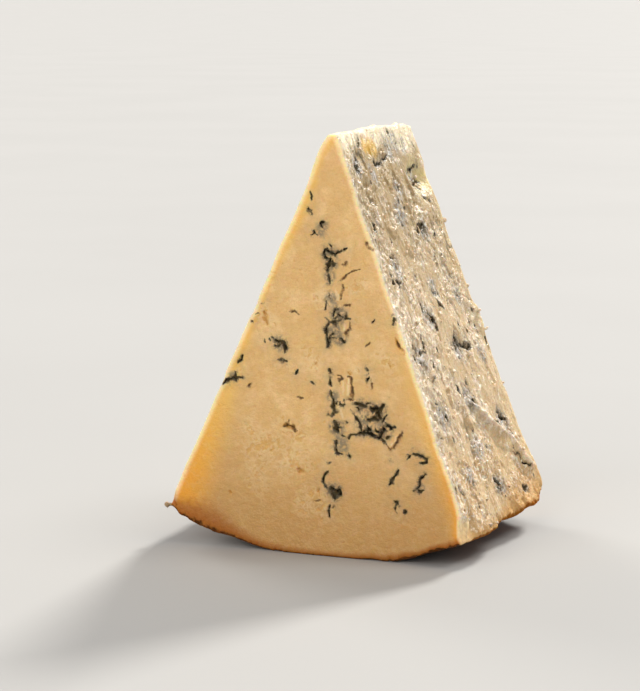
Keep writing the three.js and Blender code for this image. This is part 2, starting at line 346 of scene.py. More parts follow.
# Soft tan marks and shallow pits, in the same way
FRONT_MARKS = [
    (1.50, (-7.8, 20.4), (-7.0, 19.8)),
    (0.90, (-4.0, 46.8), (-3.9, 45.7)),
    (0.80, (15.8, 52.3), (16.3, 51.4), (17.4, 50.3), (18.3, 49.5)),
    (1.40, (-10.8, 30.4), (-9.2, 30.2)),
    (0.50, (14.0, 46.6), (14.6, 45.9)),
    (0.80, (-16.3, 57.0), (-15.8, 54.0)),
    (0.60, (-3.0, 16.5), (-2.4, 14.4)),
    (0.60, (5.2, 43.4), (4.4, 44.0)),
    (0.70, (-25.3, 13.9), (-25.0, 13.5)),
]

# Patches of grey mould on the front side, as reach and place (x, z)
FRONT_GREYS = [
    (2.6, (-2.0, 76.6)),
    (3.0, (-0.3, 71.0)),
    (2.2, (0.2, 68.4)),
    (2.2, (-0.2, 65.5)),
    (2.4, (0.2, 60.5)),
    (3.0, (2.0, 57.0)),
    (3.2, (0.6, 53.6)),
    (2.4, (2.2, 51.5)),
    (2.6, (-12.6, 49.8)),
    (2.0, (-24.3, 41.2)),
    (2.2, (0.6, 38.2)),
    (2.6, (7.6, 36.0)),
    (4.2, (11.2, 34.4)),
    (4.4, (9.2, 32.0)),
    (3.2, (12.9, 31.0)),
    (2.8, (1.6, 31.0)),
    (3.0, (2.4, 27.2)),
    (2.8, (1.2, 16.0)),
    (1.8, (21.8, 18.6)),
]
# and on the torn side, as reach and place (deep, along)
TORN_GREYS = [
    (4.5, (-3.0, 23.0)),
    (4.0, (-21.0, 10.0)),
    (4.5, (4.0, 7.5)),
    (3.5, (10.0, 6.5)),
    (3.0, (15.0, 7.0)),
    (3.5, (-12.0, 13.0)),
    (5.0, (18.0, 16.0)),
    (3.5, (1.0, 17.5)),
    (4.0, (9.0, 29.0)),
    (4.0, (-18.0, 36.0)),
    (4.0, (3.0, 42.0)),
    (4.5, (-8.0, 48.5)),
    (4.0, (18.0, 46.0)),
    (5.0, (6.0, 58.0)),
    (4.0, (19.0, 61.0)),
    (4.5, (-21.0, 57.0)),
    (5.0, (-20.0, 71.0)),
    (4.5, (1.0, 70.0)),
    (5.0, (17.5, 79.0)),
    (4.5, (-4.0, 81.0)),
    (3.5, (1.5, 91.5)),
    (3.5, (-14.0, 86.0)),
]

# Where the torn side is smooth, in the same way
TORN_SMOOTH = [
    (7.5, (23.0, 71.0)),
    (6.0, (17.0, 65.0)),
    (6.5, (11.0, 82.5)),
    (5.5, (7.0, 87.0)),
    (6.5, (-7.5, 94.0)),
    (5.0, (-8.0, 76.5)),
    (4.5, (-19.0, 81.0)),
    (6.5, (26.0, 81.0)),
    (6.5, (26.0, 88.0)),
    (6.0, (-10.5, 12.0)),
    (5.0, (-6.5, 16.0)),
    (5.0, (5.0, 49.0)),
]

# Where each cluster of the front is met again on the back: its turn in degrees, and its move (x, z)
BACK_CLUSTERS = {
    "tip": (160, (1.5, -4.0)),
    "ring": (35, (-2.0, -6.0)),
    "middle": (-70, (-9.0, -14.0)),
    "left": (200, (26.0, -8.0)),
    "low": (115, (-6.0, 4.0)),
    "foot": (70, (10.0, -1.0)),
    "right": (20, (-38.0, 3.0)),
}

# Mould pockets of the torn side: half width, then the places (deep, along) that they run through
TORN_VEINS = [
    (0.80, (-22.3, 12.2), (-20.8, 10.2), (-19.2, 7.6)),
    (0.55, (-16.2, 5.2), (-14.2, 4.4)),
    (0.45, (-15.6, 15.2), (-15.2, 15.6)),
    (0.50, (-8.0, 10.6), (-5.0, 10.8), (-2.0, 9.6), (1.0, 8.3)),
    (0.60, (6.8, 4.2), (7.6, 3.6)),
    (0.60, (-2.5, 19.8), (-1.0, 19.0)),
    (0.60, (2.6, 17.3), (3.4, 16.8)),
    (0.50, (16.8, 13.6), (19.5, 13.2), (23.0, 13.0)),
    (0.90, (13.2, 19.0), (14.6, 18.2)),
    (0.50, (20.5, 17.2), (24.0, 16.8)),
    (0.32, (17.0, 20.3), (20.0, 21.4), (22.0, 21.5)),
    (0.60, (5.0, 27.4), (10.0, 27.3)),
    (0.55, (-18.5, 31.8), (-16.8, 32.6)),
    (0.65, (-20.8, 38.0), (-19.5, 39.2), (-18.6, 39.0)),
    (0.45, (2.0, 42.5), (4.6, 43.8)),
    (0.30, (-3.6, 42.2), (-0.6, 48.0)),
    (0.60, (-9.0, 46.0), (-7.5, 47.3), (-6.4, 49.3), (-5.2, 51.0)),
    (0.45, (15.6, 46.6), (18.0, 46.0), (19.6, 46.4)),
    (0.50, (19.5, 53.4), (20.3, 53.2)),
    (1.20, (3.2, 57.0), (5.4, 56.0), (7.0, 57.2)),
    (0.50, (7.5, 57.6), (13.5, 58.2)),
    (0.36, (2.5, 59.3), (4.5, 59.2)),
    (0.65, (-23.4, 54.0), (-22.2, 56.0)),
    (0.28, (-21.0, 56.0), (-14.0, 54.3)),
    (0.45, (-20.0, 61.8), (-16.0, 62.0)),
    (0.50, (-22.3, 68.0), (-21.2, 68.4)),
    (0.70, (-17.3, 71.6), (-16.6, 72.2)),
    (0.55, (-24.7, 75.2), (-24.2, 75.8)),
    (0.85, (-1.8, 68.4), (-1.2, 68.8)),
    (0.55, (3.8, 69.6), (2.8, 70.2), (3.2, 72.2)),
    (1.25, (16.2, 75.6), (17.8, 77.6), (19.2, 78.3)),
    (0.85, (18.4, 81.6), (19.3, 81.9)),
    (0.45, (11.0, 78.3), (15.0, 78.5)),
    (0.70, (14.8, 85.2), (15.8, 85.8)),
    (0.30, (16.2, 86.5), (18.0, 89.5), (20.0, 91.0)),
    (0.75, (1.0, 81.8), (2.0, 82.0)),
    (0.85, (0.0, 90.2), (1.2, 91.5), (1.0, 93.2)),
    (0.50, (12.5, 95.4), (15.8, 95.6)),
]
# White crumbly lips and lumps of the torn side, in the same way
TORN_LIPS = [
    (1.0, *LONG_LIP),
    (0.9, *STEEP_LIP),
    (0.9, (10.0, 24.0), (16.0, 25.0)),
    (0.8, (12.0, 28.0), (17.0, 30.0)),
    (0.8, (24.5, 9.0), (26.5, 13.5)),
    (0.8, (-24.0, 14.0), (-21.0, 17.0)),
    (0.9, (4.0, 11.0), (9.0, 10.0)),
    (0.7, *CORNER_LIP),
]
# The amber patch of the torn side near the tip, and its yellow hollow, as reach and place (deep, along)
TORN_AMBER = [
    (2.8, (-12.0, 5.8)),
    (2.8, (-9.0, 6.2)),
    (2.8, (-6.0, 6.8)),
]
TORN_HOLLOW = [
    (7.5, (18.0, 15.5)),
    (6.0, (24.0, 15.5)),
]
# Drawn at random over each torn side: how many, half widths and lengths.
# Most run from the tip towards the rind.
POCKETS = {
    "torn": [(85, (0.26, 0.58), (0.4, 3.0))],
    "left": [(150, (0.24, 0.58), (0.4, 3.5)), (26, (0.7, 1.3), (0.8, 3.5))],
}
STREAKS = (110, (0.22, 0.6), (1.5, 7.0))
STREAK_TILT = 0.35
STREAK_RISE = 0.45  # height of a streak for each unit of its half width
POCKET_SEED = {"torn": 5, "left": 7}
STREAK_SEED = {"torn": 50, "left": 70}
RANDOM_DEEP = (-SLAB / 2 + 1.5, SLAB / 2 - 1.5)  # where they start
RANDOM_ALONG = (5.0, WHEEL_RADIUS - 6.0)

# Where the front's paste is crumbly, as reach and place (x, z)
FRONT_CRUMBLY = [
    (8.0, (-16.0, 25.5)),
    (7.0, (-10.0, 22.0)),
    (5.0, (-9.5, 29.5)),
    (5.0, (-18.0, 19.0)),
    (5.5, (-4.5, 12.5)),
    (4.0, (-4.0, 46.2)),
    (4.0, (-16.0, 55.5)),
    (4.0, (14.5, 46.2)),
    (4.0, (-20.5, 30.0)),
    (3.5, (-2.0, 61.0)),
    (3.5, (6.0, 63.5)),
    (3.0, (18.5, 11.0)),
    (4.0, (7.5, 43.0)),
]
CRUMBLY_WARP = ((2.6, 6.0), (1.0, 2.4))  # the patches are this uneven
CRUMBLY_LEVELS = (0.0, 0.7)  # from a patch's rim towards its heart
CRUMBLY_GRAIN = ((0.6, 1.5), (0.4, 0.7))  # how much, and over what distance
CRUMBLY_PITS = (0.12, 0.55)  # levels of the grain that are pits
CRUMBLY_PIT = 0.2  # their depth
SMOOTH_WARP = ((2.0, 5.0), (0.8, 2.0))  # the smooth patches of the torn side are uneven too
SMOOTH_LEVELS = (0.0, 0.6)
SMOOTH_CLEAR = 0.25  # no random pockets start beyond this level of a smooth patch

# Veins wander by these amounts over these distances.
WARP = ((0.42, 1.9), (0.2, 0.8))
TORN_WARP = ((0.8, 2.8), (0.5, 1.1), (0.3, 0.6))
VEIN_BREADTH = 1.15
TEAR_BREADTH = 1.6
PIT_DEPTH = 0.9  # depth of a mould pocket for each unit of its half width
TEAR_DEPTH = 0.6
# A run's level is 1 at its heart and 0 at its rim. It sinks or rises between these levels.
PIT_LEVELS = (-0.3, 1.0)
TEAR_LEVELS = (-0.2, 1.0)
STREAK_LEVELS = (-0.2, 0.8)
SWELL = (0.55, 1.1)  # runs swell and shrink by this share, over this distance
TAPER = (0.5, 3.5)  # and narrow to this share at their ends, over this many half widths
FAR = 4.0  # a level this far below nought is well clear of a vein
HALO_REACH = 3.0
HALO_FULL = 0.45  # half width of a vein with a full halo
GREY_REACH = 4.0  # of the grey round a vein on the back and left, for each unit of its half width
GREY_FROM = 0.65  # half width from which the veins on the left have it

# Fields that the material reads: bands from where to where, mostly along from the axis
GLOW_BREADTH = 3.5  # of the painted golden glow along the left edge, light shining through the thin edge
GLOW_GROWTH = ((5.0, 45.0, 85.0), (5.0, 78.0, 99.0))  # it broadens by so much, from where to where along
GLOW_UNEVEN = (1.2, 9.0)
GLOW_CORE = 0.2  # share of its breadth that is fully golden
# The painted golden glow along the right edge: its strength, from where to where along, and its breadth
RIGHT_GLOW = 0.9
RIGHT_GLOW_BAND = (35.0, 85.0)
RIGHT_GLOW_BREADTH = 6.0
CREAM_LIP = (4.5, 7.5)  # the pale lip below the tip ends here
CREAM_LIP_UNEVEN = (1.5, 4.0)
CREAM_LIP_SWELL = (3.0, 18.0, 7.0)  # how much longer it is, at what depth, and how broad that is
FRONT_EDGE = 2.2  # distance over which the torn sides' edge with the front fades
BACK_EDGE = 2.0
CHIP_BAND = (0.25, 0.6)
CHIP_SKIN = (0.1, 0.6)
HOLLOW_LEVELS = (0.0, 0.6)
CRACK_BAND = (-0.3, 0.5)
EDGE_LIMIT = 5.0  # distances from an edge are told apart up to this one
NEAR_RIND = (64.0, 99.0)
NEAR_TIP = (12.0, 52.0)

# Colours, as linear red, green and blue
# The cut paste is more golden than the torn paste: partly the cut faces' own colour, partly painted warm
# bounced light
CUT_PASTE = (0.80, 0.548, 0.242)
CUT_PASTE_PALE = (0.88, 0.638, 0.322)
CUT_PASTE_DEEP = (0.75, 0.488, 0.20)
CUT_PASTE_LOW = (0.55, 0.312, 0.10)
TORN_PASTE = (0.71, 0.555, 0.365)
TORN_PASTE_DEEP = (0.58, 0.43, 0.26)
TORN_WET = (0.64, 0.455, 0.24)
TORN_TAN = (0.42, 0.295, 0.14)
TORN_PEACH = (0.60, 0.39, 0.18)
# White of curd flecks, lips and crumbs, also used for painted glints and a painted highlight
TORN_WHITE_AND_GLINT = (0.91, 0.81, 0.65)
HOLLOW_YELLOW = (0.80, 0.65, 0.31)
# Pale flakes, and painted highlights on the rims of crumbly pits
FLAKE_CREAM_AND_HIGHLIGHT = (0.86, 0.69, 0.42)
LIP_CREAM = (0.92, 0.80, 0.56)
AMBER_PATCH = (0.78, 0.46, 0.08)
# Painted light: the break beside the front's lower right corner is painted near white for light shining
# through it, peach towards the rind
CHIP_PAINTED_LIGHT_CREAM = (1.0, 0.74, 0.40)
CHIP_PAINTED_LIGHT_PEACH = (0.97, 0.65, 0.31)
# Painted glow of light shining through the thin edges: golden, and amber towards the rind
PAINTED_GLOW_GOLD = (0.87, 0.56, 0.13)
PAINTED_GLOW_AMBER = (0.84, 0.40, 0.030)
# Painted highlight along the front's thin edges
PAINTED_RIM_HIGHLIGHT = (0.97, 0.82, 0.48)
BACK_GOLD = (0.86, 0.66, 0.36)
MOULD_FRINGE = (0.17, 0.12, 0.055)
MOULD_TINT = (0.44, 0.36, 0.225)
MOULD_FUZZ = (0.50, 0.49, 0.47)
MOULD_DUST = (0.17, 0.15, 0.12)
MOULD_SMOKE = (0.21, 0.175, 0.115)
MOULD_GREY = (0.075, 0.058, 0.028)
MOULD_CORE = (0.011, 0.008, 0.004)
MOULD_OLIVE = (0.080, 0.056, 0.022)
MARK_TAN = (0.60, 0.30, 0.06)
# Orange of the crumbly pits: partly the paste's colour, partly painted shade
CRUMBLY_PIT_ORANGE_AND_SHADE = (0.70, 0.41, 0.12)
TEAR_BROWN = (0.21, 0.088, 0.016)
TEAR_DARK = (0.060, 0.028, 0.008)
CRUST_ORANGE = (0.40, 0.133, 0.010)
CRUST_TAN = (0.68, 0.40, 0.14)
CRUST_BROWN = (0.085, 0.030, 0.007)
CRUST_PATCH = (0.20, 0.078, 0.020)
CRUMB_BROWN = (0.30, 0.18, 0.080)
FLOOR_GREY = (0.37, 0.365, 0.355)
FLOOR_PATCH = (0.3589, 0.35405, 0.34435)

# Masks of the materials. Each is a kind with its settings, and names other masks or fields of the mesh:
# noise: size in millimetres, detail, roughness and stretch
# cells, facets: size in millimetres
# height: in millimetres, with no settings
# total: an offset, then weights and what they weigh
# band: what is read, from where to where it changes smoothly, and its values at these ends
# scaled: what is read, and a factor
# product: what is multiplied
# away: what is read, and the value that it is told apart from
# larger: the larger of two
DRAWN_OUT = (1, 1, 0.6)  # noise that is longer upwards than across
MASKS = {
    "fine": ("noise", 0.5, 2.0),
    "tiny": ("noise", 0.35),
    "grain": ("noise", 1.3),
    "broad": ("noise", 14.0, 2.0),
    "speckle": ("noise", 0.7, 3.0, 0.6),
    "torn_share": ("band", ("total", 0.0, (1.0, "torn"), (0.8, "fine")), 0.1, 0.9),
    "wet": ("band", ("total", 0.0, (1.0, "rubble"), (0.6, "grain")), 0.5, 0.9, 1.0, 0.0),
    "crumbly_share": ("total", 1.0, (-0.6, "wet")),
    "white_share": ("band", ("total", -1.0, (1.0, "white"), (2.0, "fine")), -0.3, 0.6, 0.0, 0.7),
    # White specks of curd and painted glints, more of them along the front's edge where they are painted
    # glints
    "fleck_and_glint_level": ("total", 0.0, (1.0, ("noise", 0.7, 3.0, 0.55, DRAWN_OUT)), (0.13, "front_edge")),
    "flecks": (
        "product",
        ("band", "fleck_and_glint_level", 0.55, 0.62, 0.0, 0.9),
        ("total", 1.0, (-0.5, "near_tip")),
        ("total", 1.0, (-0.75, "wet")),
    ),
    "tinted": ("product", "halo", ("band", "grain", 0.25, 0.75, 0.05, 0.4)),
    "dust": (
        "product",
        ("band", "grey", 0.0, 0.6),
        ("band", ("total", 0.0, (1.0, "halo"), (0.6, "torn_share")), 0.1, 0.6),
        ("band", ("total", 0.0, (0.6, "speckle"), (0.4, "grain")), 0.40, 0.56, 0.15, 0.85),
    ),
    "cloud": (
        "product",
        "torn_share",
        ("band", ("noise", 3.0, 5.0, 0.68, DRAWN_OUT), 0.56, 0.70, 0.0, 0.55),
    ),
    "crumbs": ("total", 0.0, (1.0, ("noise", 1.4, 4.0, 0.62)), (0.17, "crumbly")),
    # Painted highlights on the rims round the small pits of the crumbly paste
    "crumb_rims": (
        "product",
        ("band", "crumbs", 0.50, 0.60),
        ("band", "crumbs", 0.63, 0.68, 1.0, 0.0),
        ("total", 0.1, (0.3, "crumbly")),
    ),
    "hairlines": (
        "product",
        ("band", ("away", ("noise", 7.0, 2.0), 0.5), 0.0, 0.014, 0.35, 0.0),
        ("band", ("noise", 3.5), 0.52, 0.62),
    ),
    "mark_level": ("total", -1.7, (1.0, "mark"), (3.0, "speckle")),
    "tear_level": ("total", -0.8, (1.0, "tear"), (1.6, "fine")),
    "crust_level": ("total", -0.7, (1.0, "crust"), (1.4, "grain")),
    "skin": ("band", "crust_level", 0.1, 0.6, 1.0, 0.0),
    "vein_level": ("total", -1.85, (1.0, "mould"), (1.4, "fine"), (1.2, "grain"), (1.2, ("noise", 5.0))),
    "vein_fringe": (
        "product",
        ("band", "vein_level", -1.2, 0.0),
        ("band", "speckle", 0.46, 0.54, 0.1, 0.75),
    ),
    "vein_core": (
        "product",
        ("band", "vein_level", 0.1, 0.5),
        ("band", ("noise", 1.7), 0.36, 0.52, 0.55, 0.97),
    ),
    "roughness": (
        "total",
        0.0,
        (1.0, ("band", "torn_share", 0.0, 1.0, 0.5, 0.38)),
        (-0.08, ("product", "wet", "torn_share")),
        (1.0, ("band", "crust_level", 0.4, 1.4, 0.3, 0.0)),
    ),
    "firm": ("product", ("total", 1.0, (-0.75, "chip")), ("band", "crumbly", 0.0, 0.6, 1.0, 0.75)),
    "glow": ("product", "firm", ("band", "torn_share", 0.0, 1.0, 1.0, 0.45)),
    "glow_depth": ("product", "firm", ("band", "torn_share", 0.0, 1.0, 2.0 * MM, 1.2 * MM)),
    "gloss": ("band", ("larger", "vein_core", "skin"), 0.0, 1.0, 0.45, 0.05),
}

# Paints. Each is a colour, or another paint, with what is laid over it: where, and the colour or paint.
PAINTS = {
    # Painted glow of light shining through the thin edges
    "painted glow gold": [PAINTED_GLOW_GOLD, ("near_rind", PAINTED_GLOW_AMBER)],
    "smooth paste": [
        CUT_PASTE,
        (("band", "broad", 0.35, 0.7), CUT_PASTE_DEEP),
        (("band", ("noise", 4.0, 4.0, 0.6), 0.40, 0.62, 0.0, 0.75), CUT_PASTE_DEEP),
        (("band", ("noise", 7.0, 4.0), 0.46, 0.64, 0.0, 0.75), CUT_PASTE_PALE),
        (("band", "grain", 0.42, 0.66, 0.0, 0.45), CUT_PASTE_DEEP),
        (("band", "tiny", 0.42, 0.68, 0.0, 0.22), CUT_PASTE_LOW),
        # Darker towards the rind: partly the paste's own deeper colour there, partly painted shade over the
        # lower front
        (("scaled", "near_rind", 0.85), CUT_PASTE_LOW),
        # Painted glow along the left and right edges
        (("product", "edge", ("band", "broad", 0.3, 0.6, 0.85, 1.0)), "painted glow gold"),
        # Painted highlight: thin pale rims along the front's edges with the torn and left sides
        (("band", "from_torn", 0.2, 1.2, 0.85, 0.0), PAINTED_RIM_HIGHLIGHT),
        (("band", "from_left", 0.0, 1.8, 0.95, 0.0), PAINTED_RIM_HIGHLIGHT),
        ("white_share", FLAKE_CREAM_AND_HIGHLIGHT),
    ],
    "torn paste": [
        TORN_PASTE_DEEP,
        (("band", "grain", 0.35, 0.58), TORN_PASTE),
        (("band", "near_rind", 0.0, 0.7, 0.0, 0.8), TORN_PEACH),
        (("scaled", "wet", 0.75), TORN_WET),
        (("scaled", "near_tip", 0.95), TORN_TAN),
        # White specks of curd and painted glints
        ("flecks", TORN_WHITE_AND_GLINT),
        (("scaled", "back_edge", 0.85), BACK_GOLD),
        # Painted highlight: a thin pale rim along the torn side's edge with the front
        (("band", "front_edge", 0.65, 0.95, 0.0, 0.8), TORN_WHITE_AND_GLINT),
        (("scaled", "hollow", 0.85), HOLLOW_YELLOW),
        (("scaled", "lip", 0.9), LIP_CREAM),
        (("band", "amber", 0.05, 0.6, 0.0, 0.9), AMBER_PATCH),
        ("white_share", TORN_WHITE_AND_GLINT),
    ],
    "torn fuzz": [MOULD_DUST, (("band", "grain", 0.46, 0.58), MOULD_FUZZ)],
    "fuzz": [MOULD_SMOKE, ("torn_share", "torn fuzz")],
    "crust": [CRUST_ORANGE, (("scaled", "torn_share", 0.85), CRUST_TAN)],
    "skin": [
        CRUST_BROWN,
        (("band", ("noise", 2.4, 5.0), 0.42, 0.66), CRUST_PATCH),
        (("scaled", "torn_share", 0.7), CRUST_ORANGE),
    ],
    # Painted light shining through the break, cream away from the rind and peach towards it
    "painted light break": [
        CHIP_PAINTED_LIGHT_PEACH,
        (("band", ("total", 0.0, (1.0, "crust"), (4.0, "grain")), 3.0, 9.0), CHIP_PAINTED_LIGHT_CREAM),
    ],
    "dark mould": [MOULD_CORE, (("band", ("noise", 2.6), 0.42, 0.6), MOULD_OLIVE)],
    "cheese": [
        "smooth paste",
        ("torn_share", "torn paste"),
        ("tinted", MOULD_TINT),
        ("dust", "fuzz"),
        ("cloud", "fuzz"),
        (("band", "crack", 0.3, 1.0, 0.0, 0.6), MOULD_GREY),
        # Painted highlights on the rims of the crumbly pits
        ("crumb_rims", FLAKE_CREAM_AND_HIGHLIGHT),
        # Orange in the small pits of the crumbly paste: partly the paste's colour, partly painted shade in
        # the pits
        (("band", "crumbs", 0.67, 0.75, 0.0, 0.65), CRUMBLY_PIT_ORANGE_AND_SHADE),
        ("hairlines", MARK_TAN),
        (("band", "mark_level", -0.4, 0.6, 0.0, 0.85), MARK_TAN),
        (("band", "tear_level", -0.5, 0.6, 0.0, 0.9), TEAR_BROWN),
        (("band", "tear_level", 0.2, 0.9, 0.0, 0.8), TEAR_DARK),
        (("band", "crust_level", 0.6, 4.0, 0.95, 0.0), "crust"),
        ("skin", "skin"),
        # Painted light on the break beside the front's lower right corner
        ("chip", "painted light break"),
        ("vein_fringe", MOULD_FRINGE),
        (("band", "vein_level", -0.4, 0.2, 0.0, 0.85), MOULD_GREY),
        ("vein_core", "dark mould"),
    ],
    "crumb": [
        TORN_PASTE,
        (("band", ("noise", 2.5), 0.4, 0.62), TORN_WHITE_AND_GLINT),
        (("band", ("height",), 11.0, 18.0, 0.85, 0.0), CRUMB_BROWN),
    ],
    "floor": [FLOOR_GREY, (("band", ("noise", 220.0), 0.3, 0.7), FLOOR_PATCH)],
}

# Bumps, one over the other: what is read, how many millimetres it stands for, and its strength
CRUMB_GRAIN = ("total", 0.0, (1.0, ("noise", 0.7, 4.0, 0.65)), (-0.7, ("cells", 0.9)))
CHEESE_BUMPS = [
    (("total", 0.0, (1.0, "tiny"), (2.0, "grain")), 0.18, 1.0),
    (("band", "crumbs", 0.6, 0.78, 1.0, 0.0), 0.18, 1.0),
    (("product", CRUMB_GRAIN, ("total", 0.12, (0.88, "torn_share")), "crumbly_share"), 0.16, 0.8),
    (("product", ("facets", 1.0), "torn_share", "crumbly_share"), 0.65, 1.0),
]
CRUMB_BUMPS = [(("noise", 0.4, 4.0), 0.12, 1.0)]
GLOW_RADIUS = (1.0, 0.5, 0.2)  # how far red, green and blue light go under the surface, as shares
CHEESE_IOR = 1.45
CRUMB_ROUGHNESS = 0.45
CRUMB_GLOW = 0.3
CRUMB_GLOW_DEPTH = 0.3 * MM
FLOOR_ROUGHNESS = 0.8
MIX_SHARE, MIX_UNDER, MIX_OVER = 0, 6, 7  # sockets of the node that mixes colours
MIX_RESULT = 2

# Crumbs that lie on each torn side: how many, and from what size to what size
CRUMB_SEED = 17
LOOSE_CRUMBS = {"torn": (90, (0.22, 0.55)), "left": (50, (0.22, 0.5))}
LOOSE_DEEP = (-SLAB / 2 + 1.0, SLAB / 2 - 1.0)
LOOSE_ALONG = (8.0, WHEEL_RADIUS - 1.0)
LOOSE_RISE = 0.3  # share of its size that a crumb's middle stands off from the side
LOOSE_SHAPE = (0.6, 1.2)  # its half sizes, as shares of its size
CRUMB_UNEVEN = (0.45, 0.7)  # crumbs are lumpy
CRUMB_APART = 3  # a step from one crumb to the next in the noise, so that no two are alike
CRUMB_ROUNDS = 2  # subdivisions of the ball that they are made from
# Larger ones that stick out at an edge: the place (angle, deep, along), how far the crumb's middle
# stands off from it (x, y, z), its half sizes, and its turn in degrees about the y axis
EDGE_CRUMBS = [
    ((LEFT_ANGLE, -26.9, 99.0), (-0.5, 0.0, -0.7), (0.75, 0.35, 0.35), 10),
    ((LEFT_ANGLE, -26.9, 99.0), (-1.4, -0.1, -0.8), (0.7, 0.6, 0.75), 30),
    ((RIGHT_ANGLE, 27.2, 56.2), (0.3, 0.0, 0.2), (1.0, 0.4, 0.35), -40),
    ((RIGHT_ANGLE, 27.2, 27.4), (0.1, 0.0, 0.1), (0.6, 0.4, 0.6), 20),
    ((RIGHT_ANGLE, 27.2, 70.2), (0.1, 0.0, 0.1), (0.45, 0.3, 0.3), -30),
    ((RIGHT_ANGLE, 27.2, 44.6), (0.1, 0.0, 0.1), (0.4, 0.3, 0.5), 15),
    ((RIGHT_ANGLE, -8.0, 99.0), (-0.1, 0.0, 0.1), (0.6, 0.8, 0.4), 0),
    ((RIGHT_ANGLE, -13.0, 98.6), (-0.1, 0.0, 0.1), (0.5, 0.9, 0.4), 25),
]

# The floor is level near the wedge and rises gently far off, to above the camera's view:
# half breadth and height of its rings, in metres
FLOOR_RINGS = ((20.0, 0.0), (120.0, 3.0))
TARGET = Vector((-13.38, 0.0, 45.33 + AXIS_HEIGHT - WHEEL_RADIUS)) * MM
CAMERA_AZIMUTH = math.radians(21.48)
CAMERA_ELEVATION = math.radians(8.58)
CAMERA_DISTANCE = 0.5463
CAMERA_NEAR = 0.01
FOCAL_PIXELS = 2255.7
IMAGE_HEIGHT = 691
SENSOR = 36.0
# Soft lights from far off: azimuth and elevation in degrees, breadth in degrees, strength, colour
LIGHTS = {
    "key": (169, 38, 12, 3.6, (1.0, 0.97, 0.92)),
    "rim": (-125, 28, 25, 1.35, (1.0, 0.95, 0.88)),
    "side": (100, 58, 25, 1.3, (1.0, 0.97, 0.93)),
    "fill": (-15, 30, 50, 1.55, (1.0, 0.93, 0.84)),
}
SKY_COLOUR = (0.92, 0.95, 1.0)
SKY_STRENGTH = 0.45

# Repeatable noise: numbers that mix the bits of a place, and salts that keep its uses apart
LATTICE_PRIMES = (374761393, 668265263, 1440662683)
MIXING_PRIME = 1274126177
WORD = 2**32
FOLDS = (np.uint32(13), np.uint32(16))
WANDER_SALTS = (1, 2, 3)
FISSURE_SALT = 5
SWELL_SALT = 8
GRANULE_SALTS = (11, 12, 13)
GRANULE_HEIGHT_SALT = 14
FLAKE_SALTS = (21, 22, 23)
FLAKE_SLOPE_SALTS = (24, 25, 26)


# Noise


def lattice_value(place, salt=0):
    """A repeatable number from 0 to 1 for each whole-number place, one row each."""
    bits = np.full(len(place), salt, np.uint32)
    for axis, prime in enumerate(LATTICE_PRIMES):
        bits = bits ^ (place[:, axis] * prime % WORD).astype(np.uint32)
    bits = (bits ^ (bits >> FOLDS[0])) * np.uint32(MIXING_PRIME)
    return (bits ^ (bits >> FOLDS[1])) / WORD


def lattice_vector(place, salts):
    return np.column_stack([lattice_value(place, salt) for salt in salts])


def smooth(value, low, high):
    """0 below low and 1 above high, with a smooth rise between them."""
    t = np.clip((value - low) / (high - low), 0, 1)
    return t * t * (3 - 2 * t)


def hump(value, middle, breadth):
    """1 at the middle, falling to 0 on both sides of it."""
    return np.exp(-(((value - middle) / breadth) ** 2))


def noise(points, size, salt=0):
    """Smooth noise from -1 to 1 that rises and falls over a distance of about size."""
    cell = points / size
    base = np.floor(cell).astype(np.int64)
    t = smooth(cell - base, 0, 1)
    total = np.zeros(len(points))
    for corner in np.ndindex(2, 2, 2):
        weight = np.prod(np.where(np.array(corner), t, 1 - t), axis=1)
        total += weight * lattice_value(base + corner, salt)
    return 2 * total - 1


def layered(points, layers):
    return sum(height * noise(points, size) for height, size in layers)


def wander(points, layers):
    """The points, each moved a little by noise."""
    moved = points.copy()
    for height, size in layers:
        for axis, salt in enumerate(WANDER_SALTS):
            moved[:, axis] += height * noise(points, size, salt)
    return moved


def cells_about(points, size, salts):
    """The cells round each point, one after the other, with the way from the cell's heart to the point."""
    scaled = points / size
    base = np.floor(scaled).astype(np.int64)
    for offset in np.ndindex(3, 3, 3):
        cell = base + np.array(offset) - 1
        yield cell, scaled - (cell + lattice_vector(cell, salts))


def granules(points, size):
    """Uneven grains about size across: each sits at a height of its own, with a seam around it."""
    first = np.full(len(points), np.inf)
    second = np.full(len(points), np.inf)
    height = np.zeros(len(points))
    for cell, away in cells_about(points, size, GRANULE_SALTS):
        distance = np.linalg.norm(away, axis=1)
        nearer = distance < first
        second = np.where(nearer, first, np.minimum(second, distance))
        height = np.where(nearer, lattice_value(cell, GRANULE_HEIGHT_SALT), height)
        first = np.minimum(first, distance)
    seam = smooth(second - first, 0, GRANULE_SEAM)
    return (height - 0.5) * seam + 0.5 * (seam - 1)


def flakes(points, size):
    """Uneven flakes about size across, each a flat slope of its own."""
    first = np.full(len(points), np.inf)
    height = np.zeros(len(points))
    for cell, away in cells_about(points, size, FLAKE_SALTS):
        slope = lattice_vector(cell, FLAKE_SLOPE_SALTS) - 0.5
        distance = np.linalg.norm(away, axis=1)
        height = np.where(distance < first, np.sum(away * slope, axis=1), height)
        first = np.minimum(first, distance)
    return height * size


# The plain wedge and its sides


def to_points(places):
    """The places of the plain wedge as points (x, y, z)."""
    angle, deep, along = places.T
    return np.column_stack([along * np.sin(angle), deep, AXIS_HEIGHT - along * np.cos(angle)])


def side_distances(places):
    """How far each place lies in from each side of the plain wedge."""
    angle, deep, along = places.T
    return {
        "front": deep + SLAB / 2,
        "back": SLAB / 2 - deep,
        "torn": along * np.sin(RIGHT_ANGLE - angle),
        "left": along * np.sin(angle - LEFT_ANGLE),
        "rind": WHEEL_RADIUS - along,
        "tip": along - TIP_CUT,
    }


def edge_distance(places, side):
    """How far each place of a side lies in from the side's nearest edge."""
    return np.min([d for other, d in side_distances(places).items() if other != side], axis=0)


